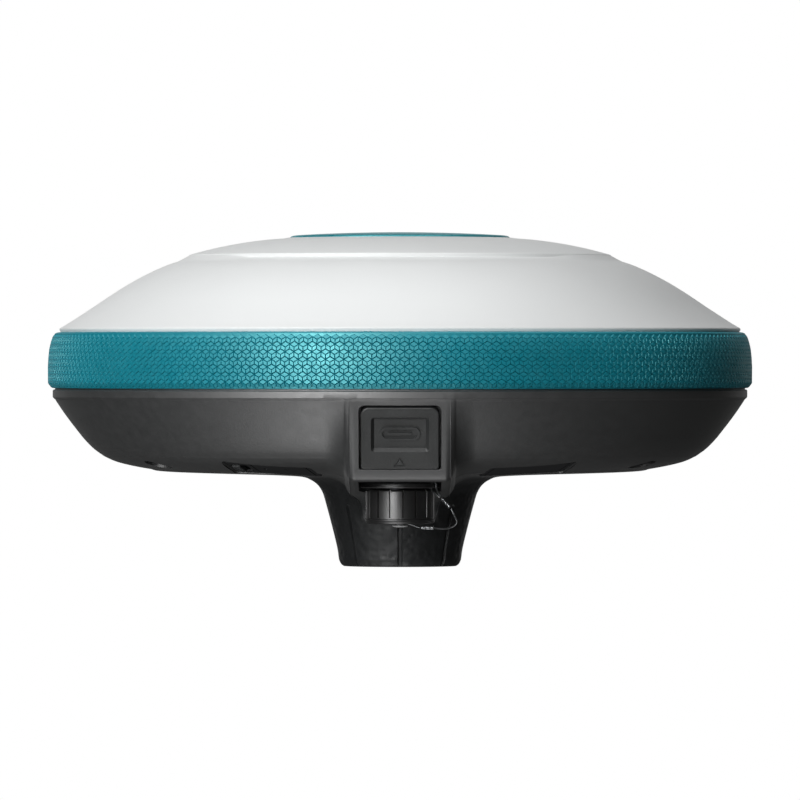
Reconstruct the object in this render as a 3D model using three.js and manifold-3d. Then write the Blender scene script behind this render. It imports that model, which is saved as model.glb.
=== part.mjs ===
// Survey-grade GNSS receiver: a smart antenna that screws onto a survey pole.
// Millimetres, +Z up. The origin is the centre of the neck's bottom face, the antenna
// reference point. The charging port faces -Y and the control panel faces +Y.
import * as THREE from 'three';
import { mergeVertices } from 'three/addons/utils/BufferGeometryUtils.js';
import Module from 'manifold-3d';

const wasm = await Module();
wasm.setup();

// ---------------------------------------------------------------- driving dimensions
const GAP = 0.3; // clearance between pieces that touch
const ROUND = 48; // segments round the housing
const SMALL = 24; // segments round small turned pieces
const TINY = 12; // segments round screws and pins

const BODY_R = 80; // over the bumper band
const BAND_Z = [40.4, 53.1];
const RIM_R = 78.9; // lower housing's rim
const RIM_Z = 40.1;
const FLOOR_Z = 22.9; // inside floor over the neck
const NECK_R = 13.3; // seat face
const SKIRT_R = [72.8, 75.2]; // cover's skirt behind the band
const DISC_R = 25;

const PORT_TILT = 20; // port face from the vertical, degrees
const PORT_TOP = [0, -77.37, 36.35]; // middle of the port cover's top edge
const COVER_W = 17.2;
const COVER_H = 14.42;
const COVER_T = 1.8;
const PORT_Y = -7.2; // port's middle below the top edge
const RECESS_HALF = 9; // the cover's recess
const RECESS_Y = [-14.8, 0.4];
const COVER_FACE = [6.4, -10.37, -2.3]; // sunk face: half width, lower and upper edge
const PLUG_HALF = [5.3, 2.5]; // sealing lip round the port's mouth
const PORT_HALF = [4.5, 1.6]; // receptacle

const CHIN_HALF = 11.2; // hood round the port and the antenna connector
const CHIN_Z = 20;
const SLOT_HALF = 9.2;
const SLOT_TOP = 19.95;

const JACK_Y = -36; // antenna connector's axis
const JACK_R = 5.55; // 7/16-28 barrel
const JACK_END = 13.2;
const CAP_R = 7.65;
const CAP_Z = [10.2, 17.9];
const CAP_RIBS = 16;
const RIVET_Z = 9.35;
const RING_R = [6.9, 8.8]; // lanyard ring round the connector
const RING_Z = [18.2, 19.3];
const EYE_AT = [8.05, -30]; // hole that the lanyard hooks through: radius and angle
const WIRE_R = 0.225;

const INSERT_R = 9.9;
const THREAD_R = 6.9;
const SOCKET_DEPTH = 19.6;

const PANEL_TILT = 42.5; // rear wall from the vertical, degrees
const PANEL_AT = [0, 73.0, 30.2];
const PANEL_HALF = [17, 5.8];
const BUTTON_R = 4.6;
const PIPE_X = [9.6, 13.4]; // indicator light pipes either side of the button
const PIPE_R = 0.9;
const PIPES = PIPE_X.flatMap((x) => [-x, x]);

const DOOR_AT = [28.25, -48.9, 22.5]; // card door, mirrored for the rating plate
const DOOR_SIZE = [19.6, 13];
const DOOR_T = 1.2;
const DOOR_TURN = 13.8; // degrees about Z
const DOOR_SLOPE = 0.19; // rise of the underside per mm away from the axis
const DOOR_AZIMUTH = 30;

const SCREW_ANGLES = [15, 65, 115, 165, 210, 330];
const SCREW_R = 62.5;
const SCREW_PILOT_R = 1.6;
const SCREW_BOSS_R = 4.8;
const BOARD_R = 56;
const BOARD_Z = [31, 32.6];
const STANDOFFS = [[-44, 30], [44, 30], [0, -51]];
const STANDOFF_HOLE_R = 1.5;
const PLANE_Z = 56; // antenna's ground plane
const PLANE_T = 1.2;
const PATCH_HOLE_R = 2;

// ---------------------------------------------------------------- solids
const rad = THREE.MathUtils.degToRad;

/** A manifold solid from a closed three.js geometry, turned inside out if it has to be. */
function solid(geometry, matrix) {
  const bare = geometry.clone();
  bare.deleteAttribute('normal');
  bare.deleteAttribute('uv');
  if (matrix) bare.applyMatrix4(matrix);
  const merged = mergeVertices(bare, 1e-4);
  const p = merged.attributes.position.array;
  const kept = [];
  let volume = 0;
  const corner = (i) => new THREE.Vector3(p[3 * i], p[3 * i + 1], p[3 * i + 2]);
  for (let k = 0; k < merged.index.count; k += 3) {
    const [a, b, c] = [0, 1, 2].map((n) => merged.index.getX(k + n));
    if (a === b || b === c || a === c) continue;
    kept.push([a, b, c]);
    volume += corner(a).dot(corner(b).cross(corner(c)));
  }
  const faces = volume < 0 ? kept.map(([a, b, c]) => [a, c, b]) : kept;
  return new wasm.Manifold(
    new wasm.Mesh({
      numProp: 3,
      vertProperties: Float32Array.from(p),
      triVerts: Uint32Array.from(faces.flat()),
    }),
  );
}

/** A three.js geometry from a manifold solid. */
function geometryOf(shape) {
  const mesh = shape.getMesh();
  const geometry = new THREE.BufferGeometry();
  geometry.setAttribute('position', new THREE.BufferAttribute(Float32Array.from(mesh.vertProperties), 3));
  geometry.setIndex(new THREE.BufferAttribute(Uint32Array.from(mesh.triVerts), 1));
  const flat = geometry.toNonIndexed();
  flat.computeVertexNormals();
  return flat;
}

const place = (x, y, z) => new THREE.Matrix4().makeTranslation(x, y, z);
const join = (shapes) => shapes.reduce((all, one) => all.add(one));
const cut = (shape, tools) => tools.reduce((left, tool) => left.subtract(tool), shape);

/** A solid of revolution about Z from its [radius, height] outline. */
function turned(outline, segments = SMALL, matrix) {
  const closed = outline[0][0] > 0 ? [...outline, outline[0]] : outline;
  const points = closed.map(([r, z]) => new THREE.Vector2(r, z));
  const lathe = new THREE.LatheGeometry(points, segments);
  lathe.rotateX(Math.PI / 2);
  return solid(lathe, matrix);
}

/** A cylinder along Z between two heights. */
function rod(radius, low, high, at = [0, 0], segments = SMALL) {
  return turned([[0, low], [radius, low], [radius, high], [0, high]], segments, place(at[0], at[1], 0));
}

/** A flat ring about Z between two radii and two heights. */
function collar([inner, outer], [low, high]) {
  return turned([[inner, low], [outer, low], [outer, high], [inner, high]], ROUND);
}

/** A block between two corners, in the frame of a matrix if one is given. */
function block(low, high, matrix) {
  const size = high.map((h, i) => h - low[i]);
  const box = new THREE.BoxGeometry(...size);
  box.translate(...low.map((l, i) => l + size[i] / 2));
  return solid(box, matrix);
}

/** A rounded rectangle's outline with one radius for its top corners and one for its bottom ones. */
function roundedShape(x0, y0, x1, y1, top, bottom = top) {
  const shape = new THREE.Shape();
  shape.moveTo(x0 + bottom, y0);
  shape.lineTo(x1 - bottom, y0);
  shape.absarc(x1 - bottom, y0 + bottom, bottom, -Math.PI / 2, 0);
  shape.absarc(x1 - top, y1 - top, top, 0, Math.PI / 2);
  shape.absarc(x0 + top, y1 - top, top, Math.PI / 2, Math.PI);
  shape.absarc(x0 + bottom, y0 + bottom, bottom, Math.PI, 1.5 * Math.PI);
  return shape;
}

/** A rounded rectangle centred on its frame's origin. */
const centredShape = (x, y, radius) => roundedShape(-x, -y, x, y, radius);

/** A prism of a shape along its frame's Z between two heights. */
function prism(shape, low, high, matrix, curveSegments = 4) {
  const body = new THREE.ExtrudeGeometry(shape, { depth: high - low, bevelEnabled: false, curveSegments });
  body.translate(0, 0, low);
  return solid(body, matrix);
}

/** A round wire along a smooth curve through points. */
function wire(points, radius, steps, sides = 8) {
  const section = new THREE.Shape();
  section.absarc(0, 0, radius, 0, 2 * Math.PI);
  const path = new THREE.CatmullRomCurve3(points.map((p) => new THREE.Vector3(...p)));
  return solid(
    new THREE.ExtrudeGeometry(section, {
      steps,
      extrudePath: path,
      bevelEnabled: false,
      curveSegments: sides / 2,
    }),
  );
}

/** A turned piece stood along the line between two points. */
function turnedBetween(outline, from, to, segments) {
  const way = new THREE.Vector3(...to).sub(new THREE.Vector3(...from)).normalize();
  const spin = new THREE.Quaternion().setFromUnitVectors(new THREE.Vector3(0, 0, 1), way);
  const matrix = new THREE.Matrix4().compose(new THREE.Vector3(...from), spin, new THREE.Vector3(1, 1, 1));
  return turned(outline, segments, matrix);
}

const polar = (radius, degrees) => [radius * Math.cos(rad(degrees)), radius * Math.sin(rad(degrees))];

// ---------------------------------------------------------------- local frames
/** Frame on a sloping wall: x across, y up the slope, z out of the wall. */
function wallFrame(at, tilt, front) {
  const s = Math.sin(rad(tilt));
  const c = Math.cos(rad(tilt));
  const way = front ? -1 : 1;
  const x = new THREE.Vector3(-way, 0, 0);
  const y = new THREE.Vector3(0, way * s, c);
  const z = new THREE.Vector3(0, way * c, -s);
  return new THREE.Matrix4().makeBasis(x, y, z).setPosition(...at);
}

/** Frame on the underside: x along the door, y towards the pole axis, z up into the housing. */
function underFrame(side) {
  const outward = new THREE.Vector3(side * Math.sin(rad(DOOR_AZIMUTH)), -Math.cos(rad(DOOR_AZIMUTH)), 0);
  const z = new THREE.Vector3(-outward.x * DOOR_SLOPE, -outward.y * DOOR_SLOPE, 1).normalize();
  const turn = rad(side * DOOR_TURN);
  const x = new THREE.Vector3(Math.cos(turn), Math.sin(turn), 0);
  x.addScaledVector(z, -x.dot(z)).normalize();
  const y = new THREE.Vector3().crossVectors(z, x);
  return new THREE.Matrix4().makeBasis(x, y, z).setPosition(side * DOOR_AT[0], DOOR_AT[1], DOOR_AT[2]);
}

const portFrame = wallFrame(PORT_TOP, PORT_TILT, true);
const panelFrame = wallFrame(PANEL_AT, PANEL_TILT, false);
const doorFrame = underFrame(-1);
const plateFrame = underFrame(1);

/** A cylinder square to the panel between two heights. */
function alongPanel(radius, low, high, x, segments) {
  const pin = new THREE.CylinderGeometry(radius, radius, high - low, segments);
  pin.rotateX(Math.PI / 2).translate(x, 0, (low + high) / 2);
  return solid(pin, panelFrame);
}

// ---------------------------------------------------------------- the group and its finishes
const receiver = new THREE.Group();

const FINISH = {
  dome: [0xd9dbdb, 0.42, 0],
  teal: [0x14808f, 0.5, 0],
  tealDisc: [0x1c8794, 0.38, 0],
  housing: [0x37393a, 0.62, 0],
  rubber: [0x303130, 0.8, 0],
  seal: [0x1b1b1b, 0.85, 0],
  cap: [0x121314, 0.4, 0],
  steel: [0xb9bcbe, 0.3, 1],
  brass: [0xb99a4e, 0.35, 1],
  aluminium: [0xaeb2b5, 0.4, 1],
  ceramic: [0xd8d0bd, 0.6, 0],
  board: [0x1d5a37, 0.5, 0],
  shield: [0xa9adaf, 0.35, 1],
  chip: [0x1a1b1c, 0.5, 0],
  cell: [0x2c6fa8, 0.45, 0],
  lens: [0xcfe6ea, 0.2, 0],
  plate: [0x2b2d2e, 0.45, 0],
};

function add(name, shape, finish) {
  const [color, roughness, metalness] = FINISH[finish];
  const mesh = new THREE.Mesh(
    geometryOf(shape),
    new THREE.MeshStandardMaterial({ color, roughness, metalness }),
  );
  mesh.name = name;
  receiver.add(mesh);
}

// ---------------------------------------------------------------- top cover and disc
/** Crown of the radome, a shallow parabola out to the step, and the steeper outline below it. */
const STEP_R = 48.2;
const crown = (r) => 74.55 - 0.0052 * Math.max(r - 21, 0) ** 2;
const CROWN_RADII = [25.3, 34, 41.5, STEP_R - 0.2];
const DOME_OUTER = [
  [STEP_R + 0.2, 69.7], [54.5, 67.6], [60.5, 64.8], [66, 61.3], [71.5, 57.5], [77.1, 54.1], [77.3, 53.4],
];
const DOME_INNER = [
  [SKIRT_R[0], 53.6], [64.5, 59.6], [55, 64.8], [45, 68.4], [32, 70.6],
];

{
  const shell = turned(
    [
      [0, 72.9],
      [CROWN_RADII[0], 72.9],
      ...CROWN_RADII.map((r) => [r, crown(r)]),
      ...DOME_OUTER,
      [SKIRT_R[1], 53.4],
      [SKIRT_R[1], RIM_Z + 0.8],
      [SKIRT_R[0], RIM_Z + 0.8],
      ...DOME_INNER,
      [0, 70.6],
    ],
    ROUND,
  );
  const posts = SCREW_ANGLES.map((a) => rod(3.6, 30.3, 60.5, polar(SCREW_R, a), TINY));
  const pilots = SCREW_ANGLES.map((a) => rod(SCREW_PILOT_R, 30, 42, polar(SCREW_R, a), TINY));
  add('top_cover', cut(join([shell, ...posts]), pilots), 'dome');
}

add(
  'top_disc',
  turned([[0, 73.2], [DISC_R, 73.2], [DISC_R, 74.7], [24.5, 75.05], [13, 75.62], [0, 75.8]], ROUND),
  'tealDisc',
);

// ---------------------------------------------------------------- bumper band and seal
add(
  'bumper_band',
  turned(
    [
      [SKIRT_R[1] + GAP, BAND_Z[1]],
      [77.3, BAND_Z[1]],
      [78.9, 52.1],
      [79.7, 49.3],
      [BODY_R, 45.2],
      [BODY_R, 41.5],
      [79.1, BAND_Z[0]],
      [SKIRT_R[1] + GAP, BAND_Z[0]],
    ],
    ROUND,
  ),
  'teal',
);

add('housing_seal', turned([[73, 39.3], [75, 39.3], [75, 40.6], [73, 40.6]], ROUND), 'seal');

// ---------------------------------------------------------------- lower housing with its neck
const HOUSING_OUTER = [
  [NECK_R, 0], [13.9, 0.8], [14.3, 4.3], [17.1, 15.2], [18.2, 17.8], [22.7, 20.4],
  [52.3, 21.4], [60.2, 22.7], [66.6, 24.6], [70.2, 27.4], [78.4, 37.6], [RIM_R, 38.3], [RIM_R, RIM_Z],
];
const HOUSING_INNER = [
  [75.9, RIM_Z + 1], [75.9, 39], [72.4, 39], [72, 33], [67.4, 27.2], [60.2, 25], [50, FLOOR_Z + 0.7],
  [22.7, FLOOR_Z],
];

/** Side view of the hood: the port face, its lower edge and an underside that falls to the neck. */
function chin() {
  const side = new THREE.Shape();
  side.moveTo(-77.9, 37.8);
  side.lineTo(-72.0, 21.6);
  side.quadraticCurveTo(-71.3, CHIN_Z, -69.2, CHIN_Z - 0.1);
  side.lineTo(-34, 17.4);
  side.quadraticCurveTo(-22, 16.3, -16.6, 13.4);
  side.lineTo(-12, 13.4);
  side.lineTo(-12, 30);
  side.lineTo(-70, 37.8);
  const across = new THREE.Matrix4().makeBasis(
    new THREE.Vector3(0, 1, 0),
    new THREE.Vector3(0, 0, 1),
    new THREE.Vector3(1, 0, 0),
  );
  return prism(side, -CHIN_HALF, CHIN_HALF, across, 6);
}

/** Groove down the neck at one angle. */
function neckGroove(degrees) {
  const lean = new THREE.Matrix4().makeRotationY(rad(11.7));
  const turn = new THREE.Matrix4().makeRotationZ(rad(degrees));
  return block([-0.7, -0.35, -2], [1.5, 0.35, 14], turn.multiply(place(NECK_R + 0.6, 0, 0)).multiply(lean));
}

{
  const outer = turned([[0, 0], ...HOUSING_OUTER, [0, RIM_Z]], ROUND);
  const inside = turned([[0, RIM_Z + 1], ...HOUSING_INNER, [0, FLOOR_Z]], ROUND);
  const [doorX, doorY] = [DOOR_SIZE[0] / 2, DOOR_SIZE[1] / 2];
  const shell = cut(join([outer, chin()]), [inside]);

  const [padX, padY] = [PANEL_HALF[0] + 2, PANEL_HALF[1] + 1.2];
  const added = [
    block([-padX, -padY, -4], [padX, padY, 0.02], panelFrame),
    block([-7.8, -5.8, 0.6], [7.8, 5.8, 10], doorFrame),
    ...SCREW_ANGLES.map((a) => rod(SCREW_BOSS_R, 26, 30, polar(SCREW_R, a), TINY)),
    ...STANDOFFS.map((at) => rod(3, 22.4, BOARD_Z[0] - GAP, at, TINY)),
  ];

  const slot = new THREE.Shape();
  slot.moveTo(-SLOT_HALF, -75);
  slot.lineTo(SLOT_HALF, -75);
  slot.absarc(0, JACK_Y, SLOT_HALF, 0, Math.PI);
  slot.lineTo(-SLOT_HALF, -75);

  const removed = [
    rod(INSERT_R + GAP, -1, SOCKET_DEPTH + 0.4, [0, 0], 32),
    ...[0, 45, 90, 135, 180, 225, 270, 315].map(neckGroove),
    prism(slot, 5, SLOT_TOP, place(0, 0, 0), 12),
    rod(4.9, 10, 30, [0, JACK_Y]),
    // port cover's recess, the window to the port and the port board's pocket
    prism(roundedShape(-RECESS_HALF, RECESS_Y[0], RECESS_HALF, RECESS_Y[1], 1.6, 0.3), -2.2, 6, portFrame),
    prism(roundedShape(-5.9, PORT_Y - 3.4, 5.9, PORT_Y + 2.9, 1.2), -6, 0, portFrame),
    block([-RECESS_HALF, -13, -15], [RECESS_HALF, -2.2, -4.9], portFrame),
    // card door's recess and bay, and the rating plate's recess
    prism(centredShape(doorX + GAP, doorY + GAP, 0.9), -6, DOOR_T + GAP, doorFrame),
    block([-6.6, -4.6, 0], [6.6, 4.6, 9], doorFrame),
    prism(centredShape(doorX, doorY, 0.9), -6, 0.9, plateFrame),
    // panel's recess, the button's way and the light pipes' ways
    prism(centredShape(PANEL_HALF[0] + GAP, PANEL_HALF[1] + GAP, 1.7), -1.5, 4, panelFrame),
    alongPanel(BUTTON_R + 0.4, -9.5, -0.5, 0, SMALL),
    ...PIPES.map((x) => alongPanel(PIPE_R + 0.4, -9.5, -0.5, x, TINY)),
    ...SCREW_ANGLES.map((a) => rod(3.2, 15, 26, polar(SCREW_R, a), TINY)),
    ...SCREW_ANGLES.map((a) => rod(SCREW_PILOT_R + 0.1, 15, 31, polar(SCREW_R, a), TINY)),
    ...STANDOFFS.map((at) => rod(STANDOFF_HOLE_R, 26, 32, at, TINY)),
  ];
  add('lower_housing', cut(join([shell, ...added]), removed), 'housing');
}

// ---------------------------------------------------------------- pole thread
add(
  'thread_insert',
  turned(
    [
      [THREAD_R, GAP + 0.5], [THREAD_R + 0.5, GAP], [INSERT_R, GAP], [INSERT_R, 7], [INSERT_R - 0.6, 7.6],
      [INSERT_R - 0.6, 12], [INSERT_R, 12.6], [INSERT_R, SOCKET_DEPTH], [THREAD_R, SOCKET_DEPTH],
    ],
    32,
  ),
  'brass',
);

SCREW_ANGLES.forEach((angle, n) => {
  const outline = [[0, 23.5], [2.5, 23.5], [2.9, 23.9], [2.9, 25.7], [1.3, 25.7], [1.3, 40], [0, 40.8]];
  const [x, y] = polar(SCREW_R, angle);
  const hex = prism(
    new THREE.Shape(new THREE.Path().absarc(0, 0, 1.45, 0, 2 * Math.PI).getPoints(6).slice(0, 6)),
    23,
    24.6,
    place(x, y, 0),
  );
  add(`housing_screw_${n + 1}`, cut(turned(outline, TINY, place(x, y, 0)), [hex]), 'steel');
});

// ---------------------------------------------------------------- charging port and its cover
{
  const plateShape = roundedShape(-COVER_W / 2, -COVER_H, COVER_W / 2, -0.9, 1.8, 0.6);
  const knuckle = new THREE.CylinderGeometry(COVER_T / 2, COVER_T / 2, COVER_W - 3.6, 16);
  knuckle.rotateZ(Math.PI / 2).translate(0, -COVER_T / 2, -COVER_T / 2);
  const top = block([-COVER_W / 2 + 1.8, -3, -COVER_T], [COVER_W / 2 - 1.8, -COVER_T / 2, 0], portFrame);
  const [plugX, plugY] = PLUG_HALF;
  const plugShape = roundedShape(-plugX, PORT_Y - plugY, plugX, PORT_Y + plugY, 1.1);
  const plug = prism(plugShape, -3.9, -1, portFrame);
  const hollowShape = roundedShape(1 - plugX, PORT_Y + 1 - plugY, plugX - 1, PORT_Y + plugY - 1, 0.8);
  const hollow = prism(hollowShape, -5, -2.3, portFrame);
  const [faceX, faceLow, faceHigh] = COVER_FACE;
  const face = prism(roundedShape(-faceX, faceLow, faceX, faceHigh, 0.5), -0.5, 1, portFrame);
  const arrow = new THREE.Shape([
    new THREE.Vector2(-1.1, -13.6),
    new THREE.Vector2(1.1, -13.6),
    new THREE.Vector2(0, -11.8),
  ]);
  add(
    'usb_cover',
    cut(join([prism(plateShape, -COVER_T, 0, portFrame), top, solid(knuckle, portFrame), plug]), [
      hollow,
      face,
      prism(arrow, -0.35, 1, portFrame),
    ]),
    'rubber',
  );

  const [portX, portY] = PORT_HALF;
  const wall = 0.35;
  const shell = block([-portX, PORT_Y - portY, -12.2], [portX, PORT_Y + portY, -4.2], portFrame);
  const mouth = block(
    [wall - portX, PORT_Y + wall - portY, -10.6],
    [portX - wall, PORT_Y + portY - wall, -4],
    portFrame,
  );
  const tongue = block([-3.35, PORT_Y - 0.35, -11], [3.35, PORT_Y + 0.35, -5.6], portFrame);
  add('usb_receptacle', join([cut(shell, [mouth]), tongue]), 'steel');
  add('usb_board', block([-8.5, PORT_Y - 3.5, -13.8], [8.5, PORT_Y - 1.9, -5.4], portFrame), 'board');
}

// ---------------------------------------------------------------- radio antenna connector
const jack = place(0, JACK_Y, 0);

add(
  'connector_body',
  turned(
    [
      [4.1, JACK_END], [JACK_R - 0.4, JACK_END], [JACK_R, JACK_END + 0.4], [JACK_R, 18.2],
      [6.6, 18.2], [6.6, 19.4], [4.6, 19.4], [4.6, 28], [1.6, 28], [1.6, 19], [4.1, 19],
    ],
    SMALL,
    jack,
  ),
  'brass',
);
add(
  'connector_contact',
  turned([[0, 14.2], [0.5, 14.6], [0.5, 16], [1.3, 16], [1.3, 28.8], [0, 28.8]], TINY, jack),
  'brass',
);
add('connector_nut', cut(rod(7.6, 23.9, 26, [0, JACK_Y], 6), [rod(4.9, 23, 27, [0, JACK_Y])]), 'brass');

// ring that the lanyard hooks on, drilled at its right-hand front
{
  const [inner, outer] = RING_R;
  const [low, high] = RING_Z;
  const outline = [[inner, low], [outer - 0.2, low], [outer, low + 0.2], [outer, high], [inner, high]];
  const ring = turned(outline, SMALL, jack);
  const [x, y] = polar(...EYE_AT);
  add('lanyard_ring', cut(ring, [rod(0.34, 17, 20, [x, y + JACK_Y], 8)]), 'cap');
}

// ---------------------------------------------------------------- dust cap
{
  const cup = turned(
    [
      [1.1, 11], [4.6, 11], [4.8, CAP_Z[0]], [7.1, CAP_Z[0]], [CAP_R + 0.15, 10.9],
      [CAP_R + 0.15, 11.25], [CAP_R, 11.4], [CAP_R, 17.4], [CAP_R - 0.5, CAP_Z[1]],
      [5.9, CAP_Z[1]], [5.9, 12], [1.1, 12],
    ],
    32,
    jack,
  );
  const grooves = [];
  for (let n = 0; n < CAP_RIBS; n += 1) {
    const turn = new THREE.Matrix4().makeRotationZ(rad((360 / CAP_RIBS) * n));
    grooves.push(block([CAP_R - 0.4, -0.22, 11.4], [CAP_R + 1, 0.22, 19], jack.clone().multiply(turn)));
  }
  add('dust_cap', cut(cup, grooves), 'cap');
}
add('cap_gasket', turned([[2, 12.3], [5.5, 12.3], [5.5, 12.9], [2, 12.9]], SMALL, jack), 'seal');
add(
  'cap_rivet',
  turned(
    [
      [0, RIVET_Z], [1.5, RIVET_Z], [1.8, RIVET_Z + 0.25], [1.7, RIVET_Z + 0.5],
      [0.8, RIVET_Z + 0.5], [0.8, 12.3], [1.6, 12.3], [1.6, 12.8], [0, 12.8],
    ],
    SMALL,
    jack,
  ),
  'steel',
);

// ---------------------------------------------------------------- lanyard
// Its two crimped eyes, one through the ring and one round the rivet, and the wire between them.
const FERRULE_TOP = [[9.35, -41.6, 15.95], [11.2, -42.1, 13.95]];
const FERRULE_LOW = [[7.5, -37.3, 9.3], [4.7, -36.5, 9.42]];
const FERRULE_OUTLINE = (length) => [
  [0, 0], [0.36, 0], [0.5, 0.2], [0.5, length - 0.2], [0.36, length], [0, length],
];
const span = ([a, b]) => new THREE.Vector3(...a).distanceTo(new THREE.Vector3(...b));
const WIRE_PATH = [
  [11.42, -42.14, 13.65], [12.1, -42.2, 12.2], [12.65, -41.9, 10.95], [12.3, -41.1, 10.0], [11.2, -40.0, 9.4],
  [9.6, -38.7, 9.12], [7.85, -37.5, 9.24],
];
const EYE_TOP = [
  [9.12, -41.78, 16.3], [8.45, -41.3, 17.3], [8.12, -40.72, 18.2], [8.02, -40.66, 19.05], [7.62, -40.4, 19.6],
  [7.12, -40.12, 19.45], [6.97, -40.03, 18.9], [6.97, -40.03, 18.2], [7.15, -40.25, 17.65],
  [8.0, -41.0, 16.9], [8.9, -41.35, 16.1],
];
const EYE_LOW = [
  [4.35, -36.15, 9.5], [2.9, -35.2, 10.0], [1.2, -34.72, 10.4], [-0.5, -34.8, 10.45], [-1.3, -36, 10.45],
  [-0.5, -37.2, 10.45], [1.2, -37.2, 10.4], [2.9, -36.95, 9.95], [4.35, -36.68, 9.4],
];

add('ferrule_upper', turnedBetween(FERRULE_OUTLINE(span(FERRULE_TOP)), ...FERRULE_TOP, TINY), 'steel');
add('ferrule_lower', turnedBetween(FERRULE_OUTLINE(span(FERRULE_LOW)), ...FERRULE_LOW, TINY), 'steel');
add('lanyard_wire', wire(WIRE_PATH, WIRE_R, 16), 'steel');
add('lanyard_eye_upper', wire(EYE_TOP, WIRE_R, 26), 'steel');
add('lanyard_eye_lower', wire(EYE_LOW, WIRE_R, 24), 'steel');

// ---------------------------------------------------------------- control panel
add(
  'control_panel',
  cut(prism(centredShape(...PANEL_HALF, 1.4), -1.2, 0.3, panelFrame), [
    alongPanel(BUTTON_R + GAP, -3, 2, 0, SMALL),
    ...PIPES.map((x) => alongPanel(PIPE_R + GAP, -3, 2, x, TINY)),
  ]),
  'plate',
);
add(
  'power_button',
  join([alongPanel(BUTTON_R, -2, 0.9, 0, SMALL), alongPanel(1.6, -4.3, -1, 0, TINY)]),
  'rubber',
);
for (const side of [-1, 1]) {
  const pipes = PIPE_X.map((x) => alongPanel(PIPE_R, -6, 0.4, side * x, TINY));
  const bar = block(
    [Math.min(side * 8.2, side * 14.8), -1.2, -7.4],
    [Math.max(side * 8.2, side * 14.8), 1.2, -5.6],
    panelFrame,
  );
  add(side < 0 ? 'light_guide_left' : 'light_guide_right', join([...pipes, bar]), 'lens');
}
add('button_switch', block([-3, -3, -6.9], [3, 3, -5.3], panelFrame), 'chip');
add('button_board', block([-16, -4.4, -9.3], [16, 4.4, -7.7], panelFrame), 'board');

// ---------------------------------------------------------------- card door, its latch and the rating plate
{
  const [x, y] = [DOOR_SIZE[0] / 2, DOOR_SIZE[1] / 2];
  const door = prism(centredShape(x, y, 0.6), 0, DOOR_T, doorFrame);
  const bay = prism(roundedShape(-x + 0.8, -3.4, -x + 4.6, 3.4, 0.5), -2, 0.75, doorFrame);
  add('card_door', cut(door, [bay]), 'housing');
  const latch = prism(roundedShape(-x + 1.1, -3.1, -x + 3.1, 3.1, 0.4), -0.5, 0.45, doorFrame);
  add('door_latch', latch, 'plate');
  add('rating_plate', prism(centredShape(x - GAP, y - GAP, 0.6), 0, 0.6, plateFrame), 'plate');
  add('card_socket', block([-6.2, -4.2, 6.9], [6.2, 4.2, 8.7], doorFrame), 'steel');
}

// ---------------------------------------------------------------- electronics
{
  const board = rod(BOARD_R, ...BOARD_Z, [0, 0], 48);
  const notch = block([-9, -7, -2], [9, 7, 20], doorFrame);
  const holes = STANDOFFS.map((at) => rod(1.7, 30, 34, at, TINY));
  add('main_board', cut(board, [notch, ...holes]), 'board');
}
const ON_BOARD = BOARD_Z[1] + GAP;
const MODULES = {
  gnss_module: [[-38, -37], [-7, -13], 4.5, 'shield'],
  radio_module: [[7, -38], [38, -14], 6, 'shield'],
  modem_module: [[-40, -9], [-12, 4], 3.4, 'shield'],
  motion_sensor: [[-6, -8], [6, 4], 2.4, 'chip'],
  wireless_module: [[14, -9], [34, 3], 3, 'shield'],
};
for (const [name, [low, high, height, finish]] of Object.entries(MODULES)) {
  add(name, block([...low, ON_BOARD], [...high, ON_BOARD + height]), finish);
}

// two 18650 cells lying across the back in a tray
const CELLS = { radius: 9.1, half: 32.5, y: [16.5, 35.9], z: 43.8 };
CELLS.y.forEach((y, n) => {
  const lie = new THREE.Matrix4().makeRotationY(Math.PI / 2);
  const outline = [
    [0, -CELLS.half], [CELLS.radius, -CELLS.half], [CELLS.radius, CELLS.half - 1], [4, CELLS.half - 1],
    [4, CELLS.half], [0, CELLS.half],
  ];
  add(`battery_cell_${n + 1}`, turned(outline, SMALL, place(0, y, CELLS.z).multiply(lie)), 'cell');
});
{
  const tray = block([-36, 5.6, ON_BOARD], [36, 46.6, 41]);
  const wells = CELLS.y.map((y) => {
    const well = new THREE.CylinderGeometry(CELLS.radius + GAP, CELLS.radius + GAP, 66, SMALL);
    return solid(well.rotateZ(Math.PI / 2), place(0, y, CELLS.z));
  });
  add('battery_tray', cut(tray, wells), 'chip');
}

const SPEAKER = [[0, 24.6], [10, 24.6], [10, 27.4], [7, 28.6], [0, 28.6]];
add('speaker', turned(SPEAKER, SMALL, place(26, 24, 0)), 'chip');
{
  const strip = new THREE.Shape();
  strip.absarc(0, 0, 72.1, rad(155), rad(205));
  strip.absarc(0, 0, 71.1, rad(205), rad(155), true);
  add('data_antenna', prism(strip, 43, 51, place(0, 0, 0), 10), 'board');
}
const COAX_PATH = [
  [4.95, -36, 27.4], [9, -35.6, 27.4], [15, -32, 27.4], [20, -28, 27.5], [22, -26.4, 28.5],
  [22.3, -26.2, 30.6],
];
add('radio_coax', wire(COAX_PATH, 0.9, 20), 'seal');

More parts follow.
